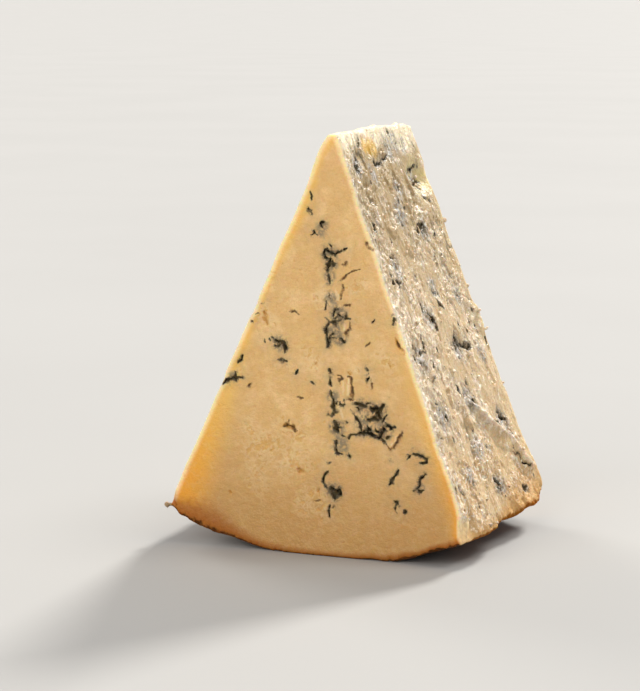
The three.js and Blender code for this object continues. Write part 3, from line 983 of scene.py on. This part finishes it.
def onto_side(places, side):
    axis, value = SIDES[side]
    moved = places.copy()
    moved[:, axis] = value
    return moved


def side_normals(places, side):
    """The way out of a side at each place."""
    angle = places[:, ANGLE]
    still = np.zeros(len(places))
    value = SIDES[side][1]
    if side in ("front", "back"):
        return np.column_stack([still, np.sign(value) + still, still])
    if side == "rind":
        return np.column_stack([np.sin(angle), still, -np.cos(angle)])
    if side == "tip":
        return np.column_stack([still, still, 1 + still])
    outward = 1 if side == "torn" else -1
    return np.column_stack([outward * math.cos(value) + still, still, outward * math.sin(value) + still])


def flatten(places, side):
    """The places of one side, laid flat."""
    angle, deep, along = places.T
    if side in ("front", "back"):
        return np.column_stack([along * np.sin(angle), along * np.cos(angle)])
    if side in TORN_SIDES:
        return np.column_stack([deep, along])
    return np.column_stack([along * angle, deep])


def unflatten(flat, side):
    """The places of one side from how they lie flat."""
    u, v = flat.T
    value = np.full(len(flat), SIDES[side][1])
    if side in ("front", "back"):
        return np.column_stack([np.arctan2(u, v), value, np.hypot(u, v)])
    if side in TORN_SIDES:
        return np.column_stack([value, u, v])
    return np.column_stack([u / value, v, value])


def edge_places(start, end):
    """Evenly spaced places along an edge of the wedge, without the last."""
    angle_length = abs(end[ANGLE] - start[ANGLE]) * start[ALONG]
    length = angle_length + abs(end[DEEP] - start[DEEP]) + abs(end[ALONG] - start[ALONG])
    steps = math.ceil(length / EDGE_SPACING)
    share = np.arange(steps)[:, None] / steps
    return np.array(start) * (1 - share) + np.array(end) * share


def side_outline(side):
    """The places round a side's four edges."""
    fixed, value = SIDES[side]
    first, second = [axis for axis in range(3) if axis != fixed]
    corners = []
    for a, b in ((LOW, LOW), (HIGH, LOW), (HIGH, HIGH), (LOW, HIGH)):
        corner = [value] * 3
        corner[first] = a[first]
        corner[second] = b[second]
        corners.append(corner)
    runs = []
    for start, end in zip(corners, corners[1:] + corners[:1]):
        forward = start < end
        run = edge_places(start, end) if forward else edge_places(end, start)
        runs.append(run if forward else np.vstack([run[1:], [start]])[::-1])
    return np.vstack(runs)


def even_lattice(side, outline, spacing):
    """Places inside a side, on a lattice of triangles."""
    flat = flatten(outline, side)
    low, high = flat.min(0), flat.max(0)
    rows = np.arange(low[1], high[1], spacing * math.sqrt(3) / 2)
    columns = np.arange(low[0], high[0], spacing)
    u, v = np.meshgrid(columns, rows)
    u = u + spacing / 2 * (np.arange(len(rows)) % 2)[:, None]
    inside = unflatten(np.column_stack([u.ravel(), v.ravel()]), side)
    return inside[edge_distance(inside, side) > EDGE_GAP * spacing]


def side_lattice(side, outline):
    """Places inside a side, closer together near its veins and marks."""
    places = even_lattice(side, outline, SPACING[side])
    if side not in FINE_SPACING:
        return places
    finer = even_lattice(side, outline, FINE_SPACING[side])
    plain = places[detail_clearance(to_points(places), side) > FINE_REACH]
    return np.vstack([plain, finer[detail_clearance(to_points(finer), side) <= FINE_REACH]])


def side_mesh(side):
    """One side's places and triangles."""
    outline = side_outline(side)
    places = np.vstack([outline, side_lattice(side, outline)])
    flat = [Vector(p) for p in flatten(places, side)]
    border = list(range(len(outline)))
    _, _, faces, sources, *_ = delaunay_2d_cdt(flat, [], [border], INSIDE_ONLY, SAME_POINT)
    source = np.array([inputs[0] for inputs in sources])
    triangles = source[np.array(faces)]
    corners = to_points(places)[triangles]
    facing = np.cross(corners[:, 1] - corners[:, 0], corners[:, 2] - corners[:, 0])
    inward = np.sum(facing * side_normals(places[triangles[:, 0]], side), axis=1) < 0
    triangles[inward] = triangles[inward][:, ::-1]
    return places, triangles


def whole_mesh():
    """All the sides together, joined where their edges meet."""
    places = []
    triangles = []
    count = 0
    for side in SIDES:
        side_places, side_triangles = side_mesh(side)
        places.append(side_places)
        triangles.append(side_triangles + count)
        count += len(side_places)
    places = np.vstack(places)
    near = np.round(places, SAME_PLACE)
    _, keep, joined = np.unique(near, axis=0, return_index=True, return_inverse=True)
    return places[keep], joined.ravel()[np.vstack(triangles)]


# Veins, patches and forms


def point_on(side, u, v):
    """The point at a place of a side, given in the way of the tables."""
    fixed, value = SIDES[side]
    if fixed == DEEP:
        return np.array([u, value, AXIS_HEIGHT - WHEEL_RADIUS + v])
    place = (math.radians(u), v, value) if fixed == ALONG else (value, u, v)
    return to_points(np.array([place]))[0]


def runs_on(side, runs, broaden=1.0):
    return [(broaden * width, [point_on(side, *p) for p in path]) for width, *path in runs]


def patches_on(side, patches):
    return [(reach, point_on(side, *place)) for reach, place in patches]


def forms_on(side):
    return [(depth, reach, *[point_on(side, *p) for p in path]) for depth, reach, *path in FORMS[side]]


def runs_on_back():
    """The front's clusters, each turned about its own middle and moved."""
    made = []
    for name, (turn, move) in BACK_CLUSTERS.items():
        places = np.array([p for _, *path in FRONT_VEINS[name] for p in path])
        middle = places.mean(0)
        c, s = math.cos(math.radians(turn)), math.sin(math.radians(turn))
        spin = np.array([[c, s], [-s, c]])
        for width, *path in FRONT_VEINS[name]:
            made.append((width, *((np.array(path) - middle) @ spin + middle + move)))
    return runs_on("back", made, VEIN_BREADTH)


def random_runs(side, seed, count, widths, lengths):
    """Short runs drawn at random over a torn side."""
    draw = np.random.default_rng(seed)
    made = []
    for _ in range(count):
        deep = draw.uniform(*RANDOM_DEEP)
        along = draw.uniform(*RANDOM_ALONG)
        tilt = draw.normal(0, STREAK_TILT)
        length = draw.uniform(*lengths)
        end = (deep + length * math.sin(tilt), along + length * math.cos(tilt))
        made.append((draw.uniform(*widths), (deep, along), end))
    return runs_on(side, made)


def random_pockets(side):
    kinds = enumerate(POCKETS[side], POCKET_SEED[side])
    return [run for seed, kind in kinds for run in random_runs(side, seed, *kind)]


def run_distances(points, path):
    """Distance of each point from a run of straight steps."""
    nearest = np.linalg.norm(points - path[0], axis=1)
    for start, end in zip(path[:-1], path[1:]):
        step = end - start
        share = np.clip((points - start) @ step / (step @ step + NO_LENGTH), 0, 1)
        nearest = np.minimum(nearest, np.linalg.norm(points - start - share[:, None] * step, axis=1))
    return nearest


def run_level(points, runs):
    """1 at the heart of a run, 0 at its rim and less beyond, and the half width of the nearest run."""
    level = np.full(len(points), -FAR)
    width = np.zeros(len(points))
    swell = 1 + SWELL[0] * noise(points, SWELL[1], SWELL_SALT)
    for half_width, path in runs:
        to_end = np.min([np.linalg.norm(points - end, axis=1) for end in (path[0], path[-1])], axis=0)
        narrow = TAPER[0] + (1 - TAPER[0]) * smooth(to_end, 0, TAPER[1] * half_width)
        this = 1 - run_distances(points, path) / (half_width * swell * narrow)
        width = np.where(this > level, half_width, width)
        level = np.maximum(level, this)
    return level, width


def run_halo(points, runs):
    """1 close to the runs, fading to 0 over the halo's reach. Wide runs have strong halos."""
    halo = np.zeros(len(points))
    for half_width, path in runs:
        near = 1 - smooth(run_distances(points, path), 0, HALO_REACH + half_width)
        halo = np.maximum(halo, near * min(1, half_width / HALO_FULL))
    return halo


def detail_clearance(points, side):
    """How far each point is from the nearest vein or mark of its side."""
    clear = np.full(len(points), np.inf)
    for half_width, path in DETAILS[side]:
        clear = np.minimum(clear, run_distances(points, path) - half_width)
    return clear


def patch_level(points, patches):
    """1 at the heart of each patch, falling to 0 at its reach."""
    level = np.zeros(len(points))
    for reach, heart in patches:
        level = np.maximum(level, 1 - np.linalg.norm(points - heart, axis=1) / reach)
    return level


def clear_of(runs, patches):
    """The runs that start outside the patches."""
    return [(width, path) for width, path in runs if patch_level(path[0][None], patches)[0] < SMOOTH_CLEAR]


def form_depth(points, forms):
    """How far the hollows and ledges sink the points."""
    depth = np.zeros(len(points))
    for deepest, reach, *path in forms:
        depth += deepest * (1 - smooth(run_distances(points, path), 0, reach))
    return depth


def grey_round(runs):
    return [(GREY_REACH * width, path[0]) for width, path in runs]


SHAPES = {side: forms_on(side) for side in FORMS}
SMOOTH = patches_on("torn", TORN_SMOOTH)
AMBER = patches_on("torn", TORN_AMBER)
HOLLOW = patches_on("torn", TORN_HOLLOW)
CRUMBLY = patches_on("front", FRONT_CRUMBLY)
VEINS = {
    "front": runs_on("front", [run for cluster in FRONT_VEINS.values() for run in cluster], VEIN_BREADTH),
    "back": runs_on_back(),
    "torn": runs_on("torn", TORN_VEINS, VEIN_BREADTH) + clear_of(random_pockets("torn"), SMOOTH),
    "left": random_pockets("left"),
}
LIPS = {side: random_runs(side, STREAK_SEED[side], *STREAKS) for side in TORN_SIDES}
LIPS["torn"] += runs_on("torn", TORN_LIPS)
LIPS["front"] = runs_on("front", FRONT_FLAKES)
TEARS = runs_on("front", FRONT_TEARS, TEAR_BREADTH) + runs_on("torn", TORN_TEARS)
MARKS = runs_on("front", FRONT_MARKS)
GREYS = patches_on("front", FRONT_GREYS) + patches_on("torn", TORN_GREYS)
GREYS += grey_round(VEINS["back"]) + grey_round([run for run in VEINS["left"] if run[0] > GREY_FROM])
DETAILS = {"front": VEINS["front"] + LIPS["front"] + TEARS + MARKS, "back": VEINS["back"]}


# Relief


def ragged(points, side):
    """The points as the veins and lips of a side read them, so that their rims are uneven."""
    return wander(points, TORN_WARP if side in TORN_SIDES else WARP)


def pits(points, side):
    """How far the veins and mould pockets sink the points."""
    level, width = run_level(ragged(points, side), VEINS[side])
    return PIT_DEPTH * width * smooth(level, *PIT_LEVELS)


def drawn_out(places, stretch):
    """The places of a torn side, squeezed along so that what is made from them comes out long."""
    angle, deep, along = places.T
    return np.column_stack([deep, along / stretch, ANGLE_SPREAD * angle])


def fissures(places):
    """1 along cracks that run from the tip towards the rind, and 0 away from them."""
    loose = wander(drawn_out(places, FISSURE_STRETCH), WARP)
    size, low, high = FISSURE_GAPS
    broken = smooth(noise(loose, size, FISSURE_SALT), low, high)
    return broken * (1 - smooth(np.abs(noise(loose, FISSURES[1])), 0, FISSURE_HALF))


def drawn_flakes(places, kind):
    steepness, size = kind
    return steepness * flakes(wander(drawn_out(places, FLAKE_STRETCH), TORN_WARP), size)


def rubble(places, points):
    """1 where the torn paste is crumbly and 0 where it is smooth."""
    distances = side_distances(places)
    uneven = RUBBLE_BASE + layered(drawn_out(places, FLAKE_STRETCH), RUBBLE)
    uneven += RUBBLE_GREY * patch_level(points, GREYS)
    uneven += RUBBLE_FRONT * np.exp(-distances["front"] / RUBBLE_FADE)
    uneven += RUBBLE_BACK * np.exp(-distances["back"] / RUBBLE_FADE)
    uneven += RUBBLE_SMOOTH * smooth(patch_level(wander(points, SMOOTH_WARP), SMOOTH), *SMOOTH_LEVELS)
    return smooth(uneven, *RUBBLE_BAND)


def crust_depth(places):
    """Depth below the rind, in thicknesses of the crust, which is thickest towards the corners."""
    angle, deep, along = places.T
    inward = {"left": angle - LEFT_ANGLE, "torn": RIGHT_ANGLE - angle}

    def swell(height, side, middle, breadth):
        return height * hump(inward[side] * WHEEL_RADIUS, middle, breadth)

    thick = CRUST + sum(swell(*settings) for settings in CRUST_SWELLS)
    thick += swell(*CRUST_BACK_SWELL) * smooth(deep, *CRUST_BACK)
    return np.clip((WHEEL_RADIUS - along) / thick, 0, CRUST_LIMIT)


def chip_share(places):
    """1 where the edge has broken away, and 0 where the break ends."""
    reach = CHIP_BREADTH * (1 + CHIP_UNEVEN[0] * noise(to_points(places), CHIP_UNEVEN[1]))
    low, high = CHIP_FADE
    across = 1 - smooth(side_distances(places)["front"], low * reach, high * reach)
    return across * smooth(places[:, ALONG], CHIP_FROM, CHIP_FULL)


def torn_grain(places, points):
    """The small relief of the torn sides."""
    loose = wander(points, WARP)
    grain = TORN_GRAIN[0] * noise(loose, TORN_GRAIN[1]) + drawn_flakes(places, SMALL_FLAKES)
    for height, size in TORN_GRANULES:
        grain += height * granules(loose, size)
    return grain * (SMOOTH_SHARE + (1 - SMOOTH_SHARE) * rubble(places, points))


def torn_calm(places, side):
    """Share of a torn side's relief that is left: less in the break and along the edges."""
    distances = side_distances(places)
    share, breadth = EDGE_CALM
    to_edge = np.minimum(distances["front"], distances["back"])
    calm = np.minimum(1, places[:, ALONG] / CALM_TIP)
    calm *= 1 - CHIP_CALM * smooth(chip_share(places), *CHIP_CALM_BAND)
    calm *= share + (1 - share) * smooth(to_edge, 0, breadth)
    if side == "left":
        calm *= smooth(distances["front"], 0, CLEAN_STRIP)
    return calm


def torn_twist(places):
    """The corners of the torn side stand out or in."""
    out = (places[:, ALONG] - TIP_CUT) / (WHEEL_RADIUS - TIP_CUT)
    return TORN_TWIST * places[:, DEEP] / (SLAB / 2) * (2 * out - 1)


def torn_height(places, points, side):
    rough = layered(points, TORN_RELIEF) + torn_grain(places, points) + drawn_flakes(places, TORN_FLAKES)
    lumps = CRUST_LUMPS[0] * granules(wander(points, WARP), CRUST_LUMPS[1])
    rough += lumps * (1 - smooth(crust_depth(places), *CRUST_LUMP_DEPTHS))
    rough -= FISSURES[0] * fissures(places)
    level, width = run_level(ragged(points, side), LIPS[side])
    rough += STREAK_RISE * width * smooth(level, *STREAK_LEVELS)
    height = torn_calm(places, side) * rough - pits(points, side)
    return height + torn_twist(places) if side == "torn" else height


def crumbly_level(points):
    """1 in the pits of the crumbly paste and 0 between them."""
    loose = wander(points, WARP)
    where = smooth(patch_level(points, CRUMBLY), *CRUMBLY_LEVELS)
    return where * smooth(layered(loose, CRUMBLY_GRAIN), *CRUMBLY_PITS)


def cut_height(places, points, side):
    calm = np.minimum(1, places[:, ALONG] / CALM_TIP)
    height = calm * layered(points, CUT_RELIEF + CUT_GRAIN) - pits(points, side)
    if side == "front":
        for runs in (TEARS, MARKS):
            level, width = run_level(wander(points, WARP), runs)
            height -= TEAR_DEPTH * width * smooth(level, *TEAR_LEVELS)
        height -= CRUMBLY_PIT * crumbly_level(points)
    return height


def rind_height(places, points, side):
    clear_of_rest = smooth(np.abs(points[:, 0]), REST_HALF, REST_HALF + REST_FADE)
    loose = wander(points, WARP)
    creases = RIND_CREASES[0] * (1 - smooth(np.abs(noise(loose, RIND_CREASES[1])), 0, CREASE_HALF))
    grain = RIND_GRAIN[0] * noise(loose, RIND_GRAIN[1])
    return clear_of_rest * (layered(points, RIND_RELIEF) - creases + grain)


def tip_height(places, points, side):
    deep = places[:, DEEP] / (SLAB / 2)
    return RIDGE_CROWN * (1 - deep * deep) + layered(points, [RIDGE_GRAIN])


# Each takes the places, their points and the side.
HEIGHTS = {
    "front": cut_height,
    "back": cut_height,
    "torn": torn_height,
    "left": torn_height,
    "rind": rind_height,
    "tip": tip_height,
}


def edge_drop(places, points, side):
    """How far a side drops towards its edges, where they are worn round."""
    low, high = EDGE_ROUND
    reach = low + (high - low) * (0.5 + 0.5 * noise(points, EDGE_ROUND_SIZE))
    return EDGE_DROP * reach * np.clip(1 - edge_distance(places, side) / reach, 0, 1) ** 2


def side_height(places, side):
    """How far each place of a side stands out from the plain wedge."""
    points = to_points(places)
    height = HEIGHTS[side](places, points, side) - form_depth(points, SHAPES.get(side, []))
    return height - edge_drop(places, points, side)


def shaped(places):
    """The points of the wedge with all its relief."""
    distances = side_distances(places)
    points = to_points(places)
    for side in SIDES:
        share = 1 - smooth(distances[side], 0, TIP_BLEND if side == "tip" else EDGE_BLEND)
        near = np.flatnonzero(share > 0)
        foot = onto_side(places[near], side)
        points[near] += side_normals(foot, side) * (share[near] * side_height(foot, side))[:, None]
    broken = CHIP_DEPTH * chip_share(places) * (1 - smooth(distances["torn"], 0, CHIP_BLEND))
    points -= side_normals(places, "torn") * broken[:, None]
    points[:, 2] = np.maximum(points[:, 2], 0)
    return points


# Fields that the material reads


def nearby_level(points, distances, runs_of_sides, measure, far):
    """The highest measure of the runs, each read only near its own side."""
    level = np.full(len(points), far)
    for side, runs in runs_of_sides.items():
        near = np.flatnonzero(distances[side] < EDGE_BLEND)
        level[near] = np.maximum(level[near], measure(points[near], side, runs))
    return level


def run_fields(points, distances):
    """Veins, tears, marks and pale flakes."""

    def ragged_level(near, side, runs):
        return run_level(ragged(near, side), runs)[0]

    def halo(near, side, runs):
        return run_halo(near, runs)

    loose = wander(points, WARP)
    return {
        "mould": nearby_level(points, distances, VEINS, ragged_level, -FAR),
        "halo": nearby_level(points, distances, VEINS, halo, 0.0),
        "white": nearby_level(points, distances, LIPS, ragged_level, -FAR),
        "tear": run_level(loose, TEARS)[0],
        "mark": run_level(loose, MARKS)[0],
    }


def patch_fields(points, distances):
    loose = wander(points, WARP)
    crumbly = patch_level(wander(points, CRUMBLY_WARP), CRUMBLY)
    return {
        "amber": patch_level(loose, AMBER),
        "hollow": smooth(patch_level(loose, HOLLOW), *HOLLOW_LEVELS),
        "grey": patch_level(loose, GREYS),
        "crumbly": crumbly * np.exp(-distances["front"]),
    }


def painted_glow_strips(along, points, distances):
    """1 in the strips along the left and right edges where a golden glow of light shining through them is
    painted.
    """
    breadth = GLOW_BREADTH + layered(points, [GLOW_UNEVEN])
    for growth, low, high in GLOW_GROWTH:
        breadth += growth * smooth(along, low, high)
    left = 1 - smooth(distances["left"], GLOW_CORE * breadth, breadth)
    right = RIGHT_GLOW * smooth(along, *RIGHT_GLOW_BAND)
    return np.maximum(left, right * (1 - smooth(distances["torn"], 0, RIGHT_GLOW_BREADTH)))


def edge_fields(places, points, distances):
    along = places[:, ALONG]
    height, middle, breadth = CREAM_LIP_SWELL
    lip_end = along - height * hump(places[:, DEEP], middle, breadth) + layered(points, [CREAM_LIP_UNEVEN])
    chip_skin = 1 - smooth(distances["torn"], *CHIP_SKIN)
    return {
        "edge": painted_glow_strips(along, points, distances),
        "lip": 1 - smooth(lip_end, *CREAM_LIP),
        "front_edge": np.exp(-distances["front"] / FRONT_EDGE),
        "back_edge": np.exp(-distances["back"] / BACK_EDGE),
        "chip": smooth(chip_share(places), *CHIP_BAND) * chip_skin,
        "from_left": np.minimum(distances["left"], EDGE_LIMIT),
        "from_torn": np.minimum(distances["torn"], EDGE_LIMIT),
        "near_rind": smooth(along, *NEAR_RIND),
        "near_tip": 1 - smooth(along, *NEAR_TIP),
    }


def paste_fields(places, points, distances):
    """Where the paste is torn and not cut, how crumbly and cracked it is, and how far below the rind."""
    to_torn = np.minimum(distances["torn"], distances["left"])
    torn = np.minimum(distances["front"], distances["back"]) - to_torn
    return {
        "torn": np.clip(torn, -EDGE_LIMIT, EDGE_LIMIT),
        "rubble": rubble(places, points),
        "crack": fissures(places) * smooth(torn, *CRACK_BAND),
        "crust": crust_depth(places),
    }


def fields(places):
    """One number for each place, under the names that the masks read."""
    points = to_points(places)
    distances = side_distances(places)
    return {
        **run_fields(points, distances),
        **patch_fields(points, distances),
        **edge_fields(places, points, distances),
        **paste_fields(places, points, distances),
    }


def mesh_object(name, points, triangles, material, floats=None):
    mesh = bpy.data.meshes.new(name)
    mesh.from_pydata((points * MM).tolist(), [], triangles.tolist())
    mesh.polygons.foreach_set("use_smooth", np.ones(len(triangles), bool))
    for field, values in (floats or {}).items():
        attribute = mesh.attributes.new(field, "FLOAT", "POINT")
        attribute.data.foreach_set("value", values.astype(np.float32))
    mesh.materials.append(material)
    mesh.update()
    obj = bpy.data.objects.new(name, mesh)
    bpy.context.scene.collection.objects.link(obj)
    return obj


# Materials


class Graph:
    """A material's nodes. Each kind of mask in the tables is the method of that name."""

    def __init__(self, name):
        self.material = bpy.data.materials.new(name)
        self.material.use_nodes = True
        self.tree = self.material.node_tree
        self.tree.nodes.clear()
        self.place = self.node("ShaderNodeTexCoord").outputs["Object"]
        self.made = {}

    def node(self, kind, inputs=None, **settings):
        made = self.tree.nodes.new(kind)
        for key, value in settings.items():
            setattr(made, key, value)
        for key, value in (inputs or {}).items():
            if isinstance(value, bpy.types.NodeSocket):
                self.tree.links.new(value, made.inputs[key])
            else:
                made.inputs[key].default_value = value
        return made

    def math(self, operation, a, b=0.0, c=0.0):
        return self.node("ShaderNodeMath", {0: a, 1: b, 2: c}, operation=operation).outputs[0]

    def vector_math(self, operation, a, b):
        return self.node("ShaderNodeVectorMath", {0: a, 1: b}, operation=operation).outputs

    def read(self, source):
        """The value of a mask, of a field of the mesh, or of a kind with its settings."""
        if isinstance(source, tuple):
            kind, *settings = source
            return getattr(self, kind)(*settings)
        if source not in self.made:
            self.made[source] = self.read(MASKS.get(source, ("field", source)))
        return self.made[source]

    def field(self, name):
        return self.node("ShaderNodeAttribute", attribute_name=name).outputs["Fac"]

    def height(self):
        """Height in millimetres."""
        return self.math("DIVIDE", self.node("ShaderNodeSeparateXYZ", {0: self.place}).outputs["Z"], MM)

    def noise(self, size, detail=3.0, roughness=0.55, stretch=(1, 1, 1)):
        """Noise from 0 to 1 with features about size millimetres across."""
        moved = self.node("ShaderNodeMapping", {"Vector": self.place, "Scale": stretch}).outputs[0]
        inputs = {"Vector": moved, "Scale": 1 / (size * MM), "Detail": detail, "Roughness": roughness}
        return self.node("ShaderNodeTexNoise", inputs).outputs["Fac"]

    def voronoi(self, size):
        return self.node("ShaderNodeTexVoronoi", {"Vector": self.place, "Scale": 1 / (size * MM)}).outputs

    def cells(self, size):
        """Distance from the heart of the nearest cell."""
        return self.voronoi(size)["Distance"]

    def facets(self, size):
        """Heights in millimetres of small flat facets, each with a slope of its own."""
        cell = self.voronoi(size)
        away = self.vector_math("SUBTRACT", self.place, cell["Position"])[0]
        slope = self.vector_math("SUBTRACT", cell["Color"], (0.5, 0.5, 0.5))[0]
        return self.math("DIVIDE", self.vector_math("DOT_PRODUCT", away, slope)["Value"], MM)

    def total(self, offset, *parts):
        result = offset
        for weight, source in parts:
            result = self.math("MULTIPLY_ADD", self.read(source), weight, result)
        return result

    def band(self, source, low, high, at_low=0.0, at_high=1.0):
        ends = {"From Min": low, "From Max": high, "To Min": at_low, "To Max": at_high}
        inputs = {"Value": self.read(source), **ends}
        return self.node("ShaderNodeMapRange", inputs, interpolation_type="SMOOTHSTEP").outputs["Result"]

    def scaled(self, source, factor):
        return self.math("MULTIPLY", self.read(source), factor)

    def product(self, first, *others):
        result = self.read(first)
        for other in others:
            result = self.math("MULTIPLY", result, self.read(other))
        return result

    def away(self, source, value):
        return self.math("ABSOLUTE", self.math("SUBTRACT", self.read(source), value))

    def larger(self, first, second):
        return self.math("MAXIMUM", self.read(first), self.read(second))

    def paint(self, source):
        """A colour, or the paint of that name with all that is laid over it."""
        if not isinstance(source, str):
            return (*source, 1.0)
        under, *layers = PAINTS[source]
        colour = self.paint(under)
        for mask, over in layers:
            inputs = {MIX_SHARE: self.read(mask), MIX_UNDER: colour, MIX_OVER: self.paint(over)}
            colour = self.node("ShaderNodeMix", inputs, data_type="RGBA").outputs[MIX_RESULT]
        return colour

    def bumps(self, layers):
        below = {}
        for source, distance, strength in layers:
            inputs = {"Height": self.read(source), "Distance": distance * MM, "Strength": strength, **below}
            below = {"Normal": self.node("ShaderNodeBump", inputs).outputs["Normal"]}
        return below["Normal"]

    def finish(self, **inputs):
        named = {key.replace("_", " "): value for key, value in inputs.items()}
        shader = self.node("ShaderNodeBsdfPrincipled", named)
        self.node("ShaderNodeOutputMaterial", {"Surface": shader.outputs[0]})
        return self.material


def cheese_material():
    g = Graph("cheese")
    return g.finish(
        Base_Color=g.paint("cheese"),
        Roughness=g.read("roughness"),
        Normal=g.bumps(CHEESE_BUMPS),
        Subsurface_Weight=g.read("glow"),
        Subsurface_Radius=GLOW_RADIUS,
        Subsurface_Scale=g.read("glow_depth"),
        Specular_IOR_Level=g.read("gloss"),
        IOR=CHEESE_IOR,
    )


def crumb_material():
    g = Graph("crumb")
    return g.finish(
        Base_Color=g.paint("crumb"),
        Roughness=CRUMB_ROUGHNESS,
        Normal=g.bumps(CRUMB_BUMPS),
        Subsurface_Weight=CRUMB_GLOW,
        Subsurface_Radius=GLOW_RADIUS,
        Subsurface_Scale=CRUMB_GLOW_DEPTH,
    )


def floor_material():
    g = Graph("floor")
    return g.finish(Base_Color=g.paint("floor"), Roughness=FLOOR_ROUGHNESS)


# Pieces


def make_wedge(material):
    places, triangles = whole_mesh()
    wedge = mesh_object("wedge_looks", shaped(places), triangles, material, fields(places))
    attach(wedge, "root")
    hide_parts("wedge")


def crumb_ball():
    """The points and triangles of a ball of radius 1."""
    ball = bmesh.new()
    bmesh.ops.create_icosphere(ball, subdivisions=CRUMB_ROUNDS, radius=1)
    points = np.array([vertex.co for vertex in ball.verts])
    triangles = np.array([[vertex.index for vertex in face.verts] for face in ball.faces])
    ball.free()
    return points, triangles


def turned(points, degrees):
    """The points turned about the y axis."""
    c, s = math.cos(math.radians(degrees)), math.sin(math.radians(degrees))
    return points @ np.array([[c, 0, -s], [0, 1, 0], [s, 0, c]])


def loose_crumbs(side, draw):
    """Middles, half sizes and turns of crumbs that lie on a torn side."""
    count, sizes = LOOSE_CRUMBS[side]
    deep = draw.uniform(*LOOSE_DEEP, count)
    along = draw.uniform(*LOOSE_ALONG, count)
    places = np.column_stack([np.full(count, SIDES[side][1]), deep, along])
    size = draw.uniform(*sizes, count)
    middles = shaped(places) + side_normals(places, side) * LOOSE_RISE * size[:, None]
    halves = size[:, None] * draw.uniform(*LOOSE_SHAPE, (count, 3))
    return list(zip(middles, halves, draw.uniform(0, 360, count)))


def make_crumbs(material):
    draw = np.random.default_rng(CRUMB_SEED)
    crumbs = [c for side in LOOSE_CRUMBS for c in loose_crumbs(side, draw)]
    for place, offset, half, turn in EDGE_CRUMBS:
        crumbs.append((shaped(np.array([place]))[0] + offset, np.array(half), turn))
    ball, ball_triangles = crumb_ball()
    points = []
    triangles = []
    for number, (middle, half, turn) in enumerate(crumbs):
        uneven = 1 + layered(ball + CRUMB_APART * number, [CRUMB_UNEVEN])
        triangles.append(ball_triangles + number * len(ball))
        points.append(turned(ball * uneven[:, None] * half, turn) + middle)
    piece = mesh_object("crumbs", np.vstack(points), np.vstack(triangles), material)
    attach(piece, "root")


# Stage, lights and camera


def direction(azimuth, elevation):
    """Towards a place round the object. Azimuth 0 is in front of the smooth side, and 90 is to its right."""
    level = math.cos(elevation)
    return Vector((math.sin(azimuth) * level, -math.cos(azimuth) * level, math.sin(elevation)))


def aim(obj, location, target):
    obj.location = location
    obj.rotation_euler = (target - location).to_track_quat("-Z", "Y").to_euler()


def make_camera():
    data = bpy.data.cameras.new("camera")
    data.sensor_width = SENSOR
    data.lens = FOCAL_PIXELS * SENSOR / IMAGE_HEIGHT
    data.clip_start = CAMERA_NEAR
    camera = bpy.data.objects.new("camera", data)
    aim(camera, TARGET + CAMERA_DISTANCE * direction(CAMERA_AZIMUTH, CAMERA_ELEVATION), TARGET)
    bpy.context.scene.collection.objects.link(camera)
    bpy.context.scene.camera = camera


def make_lights():
    for name, (azimuth, elevation, breadth, strength, colour) in LIGHTS.items():
        data = bpy.data.lights.new(name, "SUN")
        data.angle = math.radians(breadth)
        data.energy = strength
        data.color = colour
        light = bpy.data.objects.new(name, data)
        aim(light, TARGET + direction(math.radians(azimuth), math.radians(elevation)), TARGET)
        bpy.context.scene.collection.objects.link(light)


def make_sky():
    world = bpy.data.worlds.new("sky")
    world.use_nodes = True
    background = world.node_tree.nodes["Background"]
    background.inputs["Color"].default_value = (*SKY_COLOUR, 1.0)
    background.inputs["Strength"].default_value = SKY_STRENGTH
    bpy.context.scene.world = world
    bpy.context.scene.view_settings.view_transform = "Standard"


def make_floor():
    around = ((-1, -1), (1, -1), (1, 1), (-1, 1))
    count = len(around)
    corners = [(x * half, y * half, height) for half, height in FLOOR_RINGS for x, y in around]
    triangles = [(0, 1, 2), (0, 2, 3)]
    for start in range(count):
        end = (start + 1) % count
        triangles += [(start, start + count, end + count), (start, end + count, end)]
    floor = mesh_object("floor", np.array(corners) / MM, np.array(triangles), floor_material())


make_camera()
make_lights()
make_sky()
make_floor()
make_wedge(cheese_material())
make_crumbs(crumb_material())
